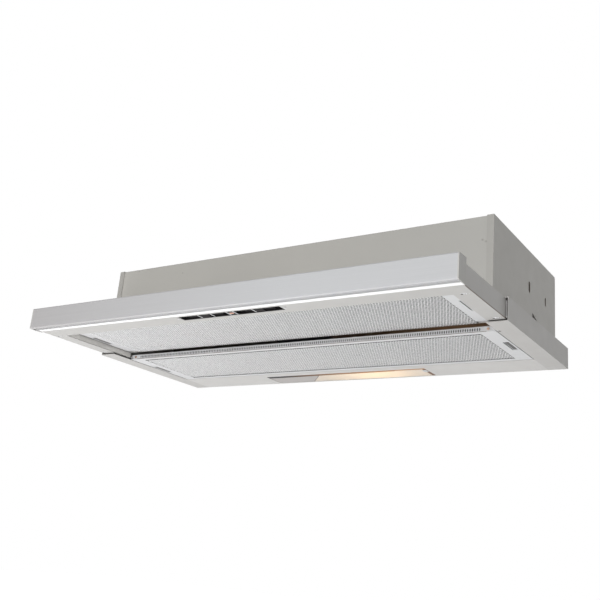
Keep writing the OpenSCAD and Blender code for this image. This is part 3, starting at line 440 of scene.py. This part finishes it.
def grow(name, group, body, slot, points=(), **values):
    mesh = bpy.data.meshes.new(name)
    mesh.from_pydata([tuple(p) for p in points], [], [])
    piece = bpy.data.objects.new(name, mesh)
    scene.collection.objects.link(piece)
    modifier = piece.modifiers.new("grow", "NODES")
    modifier.node_group = group
    for item in group.interface.items_tree:
        if item.in_out == "INPUT" and item.name.replace(" ", "_") in values:
            modifier[item.identifier] = values[item.name.replace(" ", "_")]
    graph = bpy.context.evaluated_depsgraph_get()
    result = bpy.data.meshes.new_from_object(piece.evaluated_get(graph))
    piece.modifiers.clear()
    piece.data = result
    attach(piece, body)
    triangles = sum(len(p.vertices) - 2 for p in result.polygons)
    print(name, "triangles", triangles, "on", body)
    return piece


def maths(group, operation, a, b=0.0, c=0.0):
    return wire(group, "ShaderNodeMath", {0: a, 1: b, 2: c}, operation=operation).outputs[0]

# %% [markdown]
# The outer layer of a grease filter is one sheet of expanded aluminium: a lattice of
# diamonds. A square grid turned by 45 degrees and then stretched gives exactly that, so the
# tree makes such a grid larger than the sheet, deletes what lies outside, shakes the
# crossings a little up and down, and sweeps a small triangle along every edge. Drawing
# holes in a texture would be quicker, but would give no depth at the rails. The front
# filter is also seen from above when the visor is out, so it has a second sheet there.

# %% Expanded mesh
STRAND = 0.55 * MM
SHAKE = 0.12 * MM
PITCH_X = 5.3 * MM
PITCH_Y = 12.1 * MM
EDGE_PLAY = 0.01 * MM
FLOAT_MIN, FLOAT_MAX = 2, 3

mesh_tree, given = tree("expanded_sheet", [
    ("Width", "float"), ("Depth", "float"), ("Pitch X", "float"), ("Pitch Y", "float"),
    ("Strand", "float"), ("Shake", "float"), ("Seed", "int"), ("Centre", "vector"),
    ("Material", "material")])
cells = maths(mesh_tree, "CEIL", maths(
    mesh_tree, "ADD", maths(mesh_tree, "DIVIDE", given["Width"], given["Pitch X"]),
    maths(mesh_tree, "DIVIDE", given["Depth"], given["Pitch Y"])))
even = maths(mesh_tree, "MULTIPLY", maths(
    mesh_tree, "CEIL", maths(mesh_tree, "DIVIDE", cells, 2.0)), 2.0)
grid_side = maths(mesh_tree, "MULTIPLY", even, math.sqrt(0.5))
count = maths(mesh_tree, "ADD", even, 1.0)
square_grid = wire(mesh_tree, "GeometryNodeMeshGrid", {
    "Size X": grid_side, "Size Y": grid_side, "Vertices X": count, "Vertices Y": count})
turned = wire(mesh_tree, "GeometryNodeTransform", {
    "Geometry": square_grid.outputs["Mesh"], "Rotation": (0, 0, math.radians(45))})
stretched = wire(mesh_tree, "GeometryNodeTransform", {
    "Geometry": turned.outputs[0],
    "Scale": wire(mesh_tree, "ShaderNodeCombineXYZ", {
        "X": given["Pitch X"], "Y": given["Pitch Y"], "Z": 1.0}).outputs[0]})
apart = wire(mesh_tree, "ShaderNodeSeparateXYZ", {
    "Vector": wire(mesh_tree, "GeometryNodeInputPosition").outputs[0]})
outside = [maths(mesh_tree, "GREATER_THAN", maths(mesh_tree, "ABSOLUTE", apart.outputs[axis]),
                 maths(mesh_tree, "MULTIPLY_ADD", given[size], 0.5, EDGE_PLAY))
           for axis, size in (("X", "Width"), ("Y", "Depth"))]
cut = wire(mesh_tree, "GeometryNodeDeleteGeometry", {
    "Geometry": stretched.outputs[0],
    "Selection": maths(mesh_tree, "MAXIMUM", outside[0], outside[1])}, domain="POINT")
shake = wire(mesh_tree, "FunctionNodeRandomValue", {"Seed": given["Seed"]}, data_type="FLOAT")
shake.inputs[FLOAT_MIN].default_value = -1.0
shake.inputs[FLOAT_MAX].default_value = 1.0
shaken = wire(mesh_tree, "GeometryNodeSetPosition", {
    "Geometry": cut.outputs[0],
    "Offset": wire(mesh_tree, "ShaderNodeCombineXYZ", {
        "X": 0.0, "Y": 0.0,
        "Z": maths(mesh_tree, "MULTIPLY", shake.outputs[1], given["Shake"])}).outputs[0]})
strands = wire(mesh_tree, "GeometryNodeMeshToCurve", {"Mesh": shaken.outputs[0]})
profile = wire(mesh_tree, "GeometryNodeCurvePrimitiveCircle", {
    "Resolution": 3, "Radius": given["Strand"]})
swept = wire(mesh_tree, "GeometryNodeCurveToMesh", {
    "Curve": strands.outputs[0], "Profile Curve": profile.outputs[0], "Fill Caps": True})
moved = wire(mesh_tree, "GeometryNodeTransform", {
    "Geometry": swept.outputs[0], "Translation": given["Centre"]})
end(mesh_tree, moved.outputs[0], given["Material"])


def mesh_face(name, body, low, high, seed):
    width = high.x - low.x
    pitch_x = width / round(width / PITCH_X)
    return grow(name, mesh_tree, body, "mesh_aluminium", Width=width,
                Depth=high.y - low.y, Pitch_X=pitch_x, Pitch_Y=PITCH_Y,
                Strand=STRAND, Shake=SHAKE, Seed=seed,
                Centre=(0, (low.y + high.y) / 2, low.z), Material=mesh_aluminium)


RAIL = 10.5 * MM
REAR_SUNK = 0.4 * MM
rear_low, rear_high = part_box("rear_filter_rails")
front_low, front_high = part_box("front_filter_rails")
mesh_face("rear_filter_face", "cabinet", rear_low + Vector((0, RAIL + STRAND, REAR_SUNK)),
          rear_high - Vector((0, RAIL + STRAND, 0)), seed=3)
mesh_face("front_filter_face", "visor", front_low + Vector((0, STRAND, -STRAND)),
          front_high - Vector((0, STRAND, 0)), seed=8)
pack_low, pack_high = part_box("front_filter_mesh")
pack_h = pack_high.z - pack_low.z
mesh_face("front_filter_back", "visor", pack_low + Vector((0, RAIL, pack_h)),
          pack_high - Vector((0, RAIL, 0)), seed=5)

# %% [markdown]
# Small round things that repeat: rivet heads, pressed bosses and the punched slots of the
# rear filter's front edge. One tree sets a low cone on every point it is given; a cone with
# a narrower top is a rivet head, and a very flat dark one is painted shade that reads as a
# hole. Booleans would cut real holes, but nearly two hundred in a thin rail would only add
# faces nobody can see.

# %% Fixings tree
fixing_tree, given = tree("fixings", [
    ("Radius", "float"), ("Top", "float"), ("Height", "float"), ("Sides", "int"),
    ("Stretch", "vector"), ("Turn", "vector"), ("Material", "material")])
head = wire(fixing_tree, "GeometryNodeMeshCone", {
    "Vertices": given["Sides"], "Radius Top": given["Top"], "Radius Bottom": given["Radius"],
    "Depth": given["Height"]})
shaped = wire(fixing_tree, "GeometryNodeTransform", {
    "Geometry": head.outputs["Mesh"], "Scale": given["Stretch"]})
faced = wire(fixing_tree, "GeometryNodeTransform", {
    "Geometry": shaped.outputs[0], "Rotation": given["Turn"]})
placed = wire(fixing_tree, "GeometryNodeInstanceOnPoints", {
    "Points": given["Geometry"], "Instance": faced.outputs[0]})
end(fixing_tree, placed.outputs[0], given["Material"])

DOWN = (math.pi, 0, 0)
FORWARDS = (math.pi / 2, 0, 0)


def fixings(name, body, slot, points, turn, material, radius, top, height, sides=12,
            stretch=(1, 1, 1)):
    return grow(name, fixing_tree, body, slot, points, Radius=radius * MM, Top=top * MM,
                Height=height * MM, Sides=sides, Stretch=stretch, Turn=turn,
                Material=material)


def mm_points(*points):
    return [tuple(v * MM for v in p) for p in points]

# %% [markdown]
# Thin flat pieces: seams, lips, trays and linings. `plate` is a box with broken edges, given
# by its span on each axis in millimetres, `prism` stands on any outline, and `side_plate`
# gives a plate at the right end of the hood, or its mirror image at the left end. A span is
# easier to check against a drawing than two corners are. Films that stand for paint or for a
# groove lie just proud of their sheet, since two faces at one height would flicker.

# %% Plates and prisms
SIDES = (("left", -1), ("right", 1))
BROKEN_SHARE = 0.2
PROUD, FILM = 0.02, 0.14


def carried(name, body, form, material):
    mesh = bpy.data.meshes.new(name)
    form.to_mesh(mesh)
    form.free()
    piece = bpy.data.objects.new(name, mesh)
    scene.collection.objects.link(piece)
    mesh.materials.append(material)
    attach(piece, body)
    return piece


def plate(name, body, span_x, span_y, span_z, material):
    spans = (span_x, span_y, span_z)
    form = bmesh.new()
    bmesh.ops.create_cube(form, size=1.0)
    for corner in form.verts:
        corner.co = [(b if c > 0 else a) * MM for (a, b), c in zip(spans, corner.co)]
    thinnest = min(b - a for a, b in spans)
    bmesh.ops.bevel(form, geom=form.edges[:], segments=1, affect="EDGES",
                    offset=BROKEN_SHARE * thinnest * MM)
    return carried(name, body, form, material)


def side_plate(name, body, slot, mirror, span_x, span_y, span_z, material):
    mirrored = sorted(mirror * x for x in span_x)
    return plate(name, body, mirrored, span_y, span_z, material)


def prism(name, body, slot, outline, low_z, high_z, material):
    form = bmesh.new()
    foot = form.faces.new([form.verts.new((x * MM, y * MM, low_z * MM)) for x, y in outline])
    foot.normal_flip()
    grown = bmesh.ops.extrude_face_region(form, geom=[foot])["geom"]
    for corner in grown:
        if isinstance(corner, bmesh.types.BMVert):
            corner.co.z = high_z * MM
    bmesh.ops.recalc_face_normals(form, faces=form.faces[:])
    return carried(name, body, form, material)


def box_mm(name):
    return [[c / MM for c in corner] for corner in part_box(name)]

# %% [markdown]
# The rear filter's front edge. Its rail is punched with a row of slots where the mesh is
# folded round it, whose dark discs are painted shade, and it ends in a bright tab on the
# left. A dull brown line runs along its foot as painted shadow and reflection.

# %% Edge of the rear filter
SLOT_STEP = 4.2 * MM
SLOTS_EACH_WAY = 91
SLOT_SHAPE = (0.95, 2.5, 1)
# Painted shade: a near-black finish for holes, slots and pockets, where only shade would show.
hole_dark = make("hole_dark", (0.045, 0.04, 0.038), 0.7)
relief(hole_dark, grain(hole_dark, 800.0), 0.2, 0.0002)
slots_z = (rear_low.z + rear_high.z) / 2
slot_points = [(i * SLOT_STEP, rear_low.y - PROUD * MM, slots_z)
               for i in range(-SLOTS_EACH_WAY, SLOTS_EACH_WAY + 1)]
fixings("rear_filter_slots", "cabinet", "mesh_aluminium", slot_points, FORWARDS, hole_dark,
        radius=1.1, top=1.1, height=0.12, sides=8, stretch=SLOT_SHAPE)

# A dull brown for seams, and for lines painted as shadow along a foot.
seam_brown = make("seam_brown", (0.20, 0.165, 0.145), 0.6)
relief(seam_brown, grain(seam_brown, 700.0), 0.15, 0.0002)
edge_y, edge_z = box_mm("rear_filter_rails")[0][1:]
# Painted shadow and reflection along the rail's foot.
FOOT_SHADOW_X = (-394, 394)
FOOT_SHADOW_Z = (edge_z + 0.2, edge_z + 1.0)
TAB_X = (-408.5, -405.5)
TAB_Z = (edge_z + 0.6, edge_z + 8.6)
plate("rear_filter_foot_line", "cabinet", FOOT_SHADOW_X,
      (edge_y - 0.12, edge_y - PROUD), FOOT_SHADOW_Z, seam_brown)
plate("rear_filter_tab", "cabinet", TAB_X,
      (edge_y - 0.5, edge_y - 0.05), TAB_Z, screw_steel)

# %% [markdown]
# Each filter's mesh ends at its end caps, and a thin dark strip is painted there as the
# shade in that joint. The caps are one CAD node for each filter, so the strip's place is
# measured in from the end of that node.

# %% Painted shade at the cap seams
CAP_W = 29.5
SEAM_W = 0.85
SEAM_PLAY = 0.05
CAP_RAIL = 10.5
# Painted shade for the joint between mesh and cap.
cap_seam = make("cap_seam", (0.10, 0.10, 0.10), 0.7)
relief(cap_seam, grain(cap_seam, 900.0), 0.2, 0.0002)
for row, body in (("rear", "cabinet"), ("front", "visor")):
    low, high = box_mm(row + "_filter_caps")
    print(row, "caps", [round(v, 1) for v in (*low, *high)])
    inner = high[0] - CAP_W - SEAM_PLAY
    for side, mirror in SIDES:
        side_plate(row + "_cap_seam_" + side, body, "mesh_aluminium", mirror,
                   (inner - SEAM_W, inner), (low[1] + CAP_RAIL, high[1] - CAP_RAIL),
                   (low[2] - 0.1, low[2] + 0.5), cap_seam)

# %% [markdown]
# The latches. Each is pushed with a fingertip, and behind its opening a small dark plate
# rides with its latch, as painted shade for the pocket there: darker at the rear right one,
# lighter grey at the two left ones. Of the front right one only a painted dark edge shows.

# %% Latch trays
# Painted shade, in a dark and a lighter grey copy.
tray_dark = moulded_plastic("tray_dark", (0.075, 0.073, 0.072), 0.6)
tray_grey = moulded_plastic("tray_grey", (0.15, 0.146, 0.142), 0.6)
TRAY_T = 0.13
TRAYS = (
    ("rear_latch_right", "_tray", 1, (398.4, 406.2), (-23.5, 23.5), tray_dark),
    ("rear_latch_left", "_tray", -1, (397.0, 406.2), (-23.5, 23.5), tray_grey),
    ("front_latch_left", "_tray", -1, (397.0, 406.2), (-23.5, 23.5), tray_grey),
    ("front_latch_right", "_edge", 1, (399.6, 400.7), (-26, 18), tray_dark))
for latch, ending, mirror, span_x, reach_y, finish in TRAYS:
    low, high = box_mm(latch)
    middle = (low[1] + high[1]) / 2
    under = low[2] - PROUD
    side_plate(latch + ending, latch, "latch_steel", mirror, span_x,
               (middle + reach_y[0], middle + reach_y[1]), (under - TRAY_T, under), finish)
print("latch trays", len(TRAYS))

# %% [markdown]
# Rivets on the front plate, a hole in the frame's flange and the oval fixings under the
# visor. Their places were read off the photograph, and each sits on the sheet that carries
# it. An oval fixing is a pressed boss with two small dots and a hole, whose dark disc is
# painted shade; the flange's hole is such a painted disc too.

# %% Fixings
RIVETS = ((-370, 179.5), (-244.7, 161), (405.3, 141.4), (411.0, 137.6))
OVALS = ((431, -454), (432.5, -329.5), (-431, -454), (-432.5, -329.5))
BOSS_HOLE_AT = -4.4
BOSS_DOTS_AT = (0.6, 4.6)
FLANGE_HOLE = (416, -270.2, 0.1)
plate_y = box_mm("front_plate")[0][1]
tray_foot = box_mm("visor_side_right")[0][2]
BOSS_H = 0.5
BOSS_SUNK = 0.15
boss_face = tray_foot - BOSS_SUNK - BOSS_H - 0.01
fixings("plate_rivets", "cabinet", "front_steel",
        mm_points(*((x, plate_y - 0.2, z) for x, z in RIVETS)), FORWARDS, housing_paint,
        radius=1.7, top=1.1, height=0.5, sides=16)
fixings("visor_bosses", "visor", "visor_steel",
        mm_points(*((x, y, tray_foot - BOSS_SUNK) for x, y in OVALS)), DOWN, cap_aluminium,
        radius=3.4, top=3.0, height=BOSS_H, sides=24, stretch=(2.2, 1, 1))
# Painted shade: a dark disc in each boss for its hole.
fixings("visor_boss_holes", "visor", "visor_steel",
        mm_points(*((x + BOSS_HOLE_AT, y, boss_face) for x, y in OVALS)), DOWN, hole_dark,
        radius=2.1, top=2.1, height=0.12)
fixings("visor_boss_dots", "visor", "visor_steel",
        mm_points(*((x + dot, y, boss_face) for x, y in OVALS for dot in BOSS_DOTS_AT)),
        DOWN, seam_brown, radius=1.2, top=1.2, height=0.12, sides=8)
fixings("flange_hole", "cabinet", "frame_steel", mm_points(FLANGE_HOLE), DOWN, hole_dark,
        radius=2.6, top=2.6, height=0.14)

# %% [markdown]
# Small inserts. The clip pockets of the side panels get a dark lining, painted shade for
# their insides, a nylon guide fills the gap between the visor's wall and the channel it runs
# in, and a brown line along the foot of that wall is painted shadow.

# %% Pockets and guides
guide_nylon = moulded_plastic("guide_nylon", (0.34, 0.335, 0.33), 0.6)
POCKET_SHADE = ((415.4, 423.6), (-133.6, -108.4), (54.3, 67.6))
GUIDE = ((444.2, 446.8), (-322, -316), (5.5, 34))
WALL_FOOT_SHADOW = ((443.8, 444.25), (-490, -321), (4.1, 5.8))
for side, mirror in SIDES:
    # Painted shade inside each clip pocket.
    side_plate("pocket_lining_" + side, "cabinet", "rubber", mirror, *POCKET_SHADE, hole_dark)
    side_plate("channel_guide_" + side, "cabinet", "grey_plastic", mirror, *GUIDE, guide_nylon)
    # Painted shadow along the foot of the visor's wall.
    side_plate("visor_foot_seam_" + side, "visor", "visor_steel", mirror, *WALL_FOOT_SHADOW,
               seam_brown)
print("linings, guides and seams", 3 * len(SIDES))

# %% [markdown]
# The grip strip sits in a drawn channel, whose front lip shows as a grey line between the
# fascia and the white of the strip, and whose bent end covers the strip's left end.

# %% The strip's channel
lip_aluminium = drawn_aluminium("lip_aluminium", (0.82, 0.82, 0.825), 0.5, 0.0)
LIP_H = 12
END_W = 8.0
REAR_LIP_W = (5.4, 3.0)
(sx0, sy0, sz0), (sx1, sy1, sz1) = box_mm("grip_strip")
print("strip", [round(v, 1) for v in (sx0, sy0, sz0, sx1, sy1, sz1)])
plate("strip_lip", "visor", (sx0 + 0.2, sx1 - 0.2),
      (sy0 - 0.35, sy0 - 0.05), (sz0 - PROUD, sz0 + LIP_H), lip_aluminium)
prism("strip_rear_lip", "visor", "visor_steel",
      [(sx0, sy1 - REAR_LIP_W[0]), (sx1, sy1 - REAR_LIP_W[1]), (sx1, sy1 - 0.1),
       (sx0, sy1 - 0.1)], sz0 - FILM, sz0 - PROUD, visor_paint)
plate("strip_end", "visor", (sx0 + 0.1, sx0 + END_W),
      (sy0 - 0.5, sy1 - 5.6), (sz0 - 0.12, sz0 - PROUD), fascia_aluminium)

# %% [markdown]
# The inner walls of the visor's tray each get a pale film of painted light, for the light
# they catch from below.

# %% Painted light on the tray walls
# Painted light: a pale paint for a film on each inner wall.
lip_paint = painted_sheet("lip_paint", (0.72, 0.70, 0.67))
TRAY_WALL_LIGHT = ((412.8, 412.98), (-456, -274), (5.3, 14.4))
for side, mirror in SIDES:
    side_plate("tray_lip_" + side, "visor", "visor_steel", mirror, *TRAY_WALL_LIGHT, lip_paint)
print("tray lips", len(SIDES))

# %% [markdown]
# The controls. The two knobs have thin pale edges, and so has the frame of the round
# indicator, which is what makes them readable on a black panel.

# %% Control lines
LINE_W = 1.5
LINE_Y = (-486.4, -469.8)
line_white = moulded_plastic("line_white", (0.80, 0.80, 0.80), 0.4)
for name, body, places, face in (
        ("light_slider_edges", "light_slider", (-49.0, -21.0), 4.6),
        ("speed_slider_edge", "speed_slider", (67.6,), 4.6),
        ("indicator_frame", "visor", (14.6, 29.4), 4.0)):
    for number, x in enumerate(places):
        plate(name + "_" + str(number), body,
              (x - LINE_W / 2, x + LINE_W / 2), LINE_Y, (face - FILM, face - PROUD), line_white)
    print(name, len(places), "on", body)

# %% [markdown]
# Round the lamp. The glass is held short of its opening at the front and at the right, over
# a brown felt, with a bright clip at its right end. The front felt carries painted light: a
# gradient along the hood paints it orange at its right, where the lamp lights it, and near
# black at its left as painted shade.

# %% Lamp trim
FELT_W = 8.8
FELT_PAST = 1.2
FELT_PLAY = 0.2
FELT_Z = (0.5, 3.1)
# Painted light and shade: near black at the left, lamp orange at the right.
felt_brown = make("felt_brown", (0.10, 0.075, 0.06), 0.9)
feed(felt_brown, "Base Color", blend_colours(
    felt_brown, along_hood(felt_brown, -0.15, 0.05),
    (0.035, 0.033, 0.033), (0.40, 0.21, 0.09), 0.0, 1.0))
felt_end = make("felt_end", (0.10, 0.075, 0.06), 0.9)
feed(felt_end, "Base Color", blend_colours(
    felt_end, grain(felt_end, 300.0), (0.14, 0.085, 0.06), (0.22, 0.14, 0.10)))
for felt in (felt_brown, felt_end):
    relief(felt, grain(felt, 1500.0, 3.0), 0.5, 0.0004)

(gx0, gy0, gz0), (gx1, gy1, gz1) = box_mm("lamp_glass")
print("glass", [round(v, 1) for v in (gx0, gy0, gz0, gx1, gy1, gz1)])
plate("lamp_felt_front", "cabinet", (gx0 - FELT_PAST, gx1 + FELT_W),
      (gy0 - FELT_W, gy0 - FELT_PLAY), FELT_Z, felt_brown)

WEDGE_END = 60
WEDGE_REAR = (5.2, 0.2)
WEDGE_Z = (0.16, 0.34)
CLIP_Z = (0.1, 0.38)
wedge = [(gx0 - FELT_PAST, gy0 - FELT_W), (gx1 - WEDGE_END, gy0 - FELT_W),
         (gx1 - WEDGE_END, gy0 + WEDGE_REAR[1]), (gx0 - FELT_PAST, gy0 + WEDGE_REAR[0])]
prism("lamp_felt_edge", "cabinet", "lamp_steel", wedge, *WEDGE_Z, felt_brown)
plate("lamp_felt_right", "cabinet", (gx1 + FELT_PLAY, gx1 + FELT_W),
      (gy0 - FELT_PLAY, gy1 + FELT_PAST), FELT_Z, felt_end)
plate("lamp_clip", "cabinet", (gx1 - 3.0, gx1 + 6.5), (gy0 + 6, gy0 + 20),
      CLIP_Z, cap_aluminium)

# %% [markdown]
# The left part of the glass has no reflector behind it and is painted out. The paint is a
# layer a tenth of a millimetre thick under the glass, and a dull seam ends it. Two colours
# on one glass would need a mask, and a layer of its own gives a sharper line.

# %% Blank part of the glass
SEAM_FRONT, SEAM_REAR = -66.5, -108.8
LAMP_SEAM_W = 2.0
GLASS_PLAY = 0.3
blank = moulded_plastic("lamp_blank", (0.36, 0.335, 0.322), 0.4)
for name, left_edge, right_edge, finish in (
        ("lamp_blank_part", (gx0 + GLASS_PLAY, gx0 + GLASS_PLAY), (SEAM_FRONT, SEAM_REAR), blank),
        ("lamp_seam", (SEAM_FRONT, SEAM_REAR),
         (SEAM_FRONT + LAMP_SEAM_W, SEAM_REAR + LAMP_SEAM_W), seam_brown)):
    outline = [(left_edge[0], gy0 + GLASS_PLAY), (right_edge[0], gy0 + GLASS_PLAY),
               (right_edge[1], gy1 - GLASS_PLAY), (left_edge[1], gy1 - GLASS_PLAY)]
    prism(name, "cabinet", "lamp_glass", outline, gz0 - FILM, gz0 - PROUD, finish)

# %% [markdown]
# The kitchen. The hood hangs about 1.6 m above the floor, which is where the floor lies
# here. It is pale, and seen directly it shines just enough to reach white where it is lit,
# so the object's shadow still shows on it. The sky is white where it is seen or mirrored,
# and much weaker as soft light, which leaves the shading of the hood to the lamps.

# %% Floor and world
FLOOR_Z = -1.6
REACH = 30
FLOOR_SHINE = 0.8
SOFT = 0.30
floor_mesh = bpy.data.meshes.new("floor")
corners = ((-REACH, -REACH), (REACH, -REACH), (REACH, REACH), (-REACH, REACH))
floor_mesh.from_pydata([(x, y, FLOOR_Z) for x, y in corners], [], [(0, 1, 2, 3)])
floor = bpy.data.objects.new("floor", floor_mesh)
scene.collection.objects.link(floor)

floor_finish = make("floor_finish", (0.8, 0.8, 0.8), 0.9)
path = node(floor_finish, "ShaderNodeLightPath")
seen = node(floor_finish, "ShaderNodeMath", {
    0: path.outputs["Is Camera Ray"], 1: path.outputs["Is Glossy Ray"]}, operation="MAXIMUM")
seen = node(floor_finish, "ShaderNodeMath", {
    0: seen.outputs[0], 1: path.outputs["Is Transmission Ray"]}, operation="MAXIMUM")
shine = node(floor_finish, "ShaderNodeMath", {0: seen.outputs[0], 1: FLOOR_SHINE},
             operation="MULTIPLY")
feed(floor_finish, "Base Color", blend_colours(
    floor_finish, grain(floor_finish, 2.0), (0.79, 0.79, 0.79), (0.81, 0.81, 0.81)))
feed(floor_finish, "Emission Strength", shine.outputs[0])
shader_of(floor_finish).inputs["Emission Color"].default_value = (1, 1, 1, 1)
floor.data.materials.append(floor_finish)

world = bpy.data.worlds.new("studio")
scene.world = world
world.use_nodes = True
sky = world.node_tree
background = sky.nodes["Background"]
background.inputs["Color"].default_value = (1, 1, 1, 1)
rays = sky.nodes.new("ShaderNodeLightPath")


def sky_math(operation, a, b):
    made = sky.nodes.new("ShaderNodeMath")
    made.operation = operation
    for number, value in enumerate((a, b)):
        if isinstance(value, bpy.types.NodeSocket):
            sky.links.new(value, made.inputs[number])
        else:
            made.inputs[number].default_value = value
    return made.outputs[0]


direct = sky_math("MAXIMUM", sky_math("MAXIMUM", rays.outputs["Is Camera Ray"],
                                      rays.outputs["Is Glossy Ray"]),
                  rays.outputs["Is Transmission Ray"])
level = sky_math("ADD", sky_math("MULTIPLY", direct, 1 - SOFT), SOFT)
sky.links.new(level, background.inputs["Strength"])
scene.view_settings.view_transform = "Standard"

# %% [markdown]
# The lights are three large soft panels, as in a product studio: one low in front, which
# lights the underside and the fascia, one higher in front for the housing, and a weak one
# on the right, so the hood's right side stays the darkest. A very weak warm point stands for
# the light that leaks from the lamp into the housing.

# %% Lights
def panel(name, place_at, aim, width, height, power):
    data = bpy.data.lights.new(name, "AREA")
    data.shape = "RECTANGLE"
    data.size = width
    data.size_y = height
    data.energy = power
    lamp = bpy.data.objects.new(name, data)
    lamp.location = place_at
    lamp.rotation_mode = "QUATERNION"
    lamp.rotation_quaternion = (Vector(aim) - Vector(place_at)).to_track_quat("-Z", "Y")
    scene.collection.objects.link(lamp)
    return lamp


panel("below", (-0.3, -0.9, -1.5), aim=(0, -0.25, 0), width=2.2, height=1.6, power=50)
panel("front", (0.2, -2.7, 0.5), aim=(0, -0.4, 0.05), width=2.0, height=1.4, power=36)
panel("right", (2.4, -0.9, 0.2), aim=(0.2, -0.2, 0.1), width=1.2, height=1.2, power=5.5)

LEAK_AT = (0.21, -0.13, 0.09)
LEAK_POWER = 0.08
LEAK_COLOUR = (1.0, 0.55, 0.28)
LEAK_RADIUS = 0.02
leak = bpy.data.lights.new("lamp_leak", "POINT")
leak.energy = LEAK_POWER
leak.color = LEAK_COLOUR
leak.shadow_soft_size = LEAK_RADIUS
leak_lamp = bpy.data.objects.new("lamp_leak", leak)
leak_lamp.location = LEAK_AT
scene.collection.objects.link(leak_lamp)
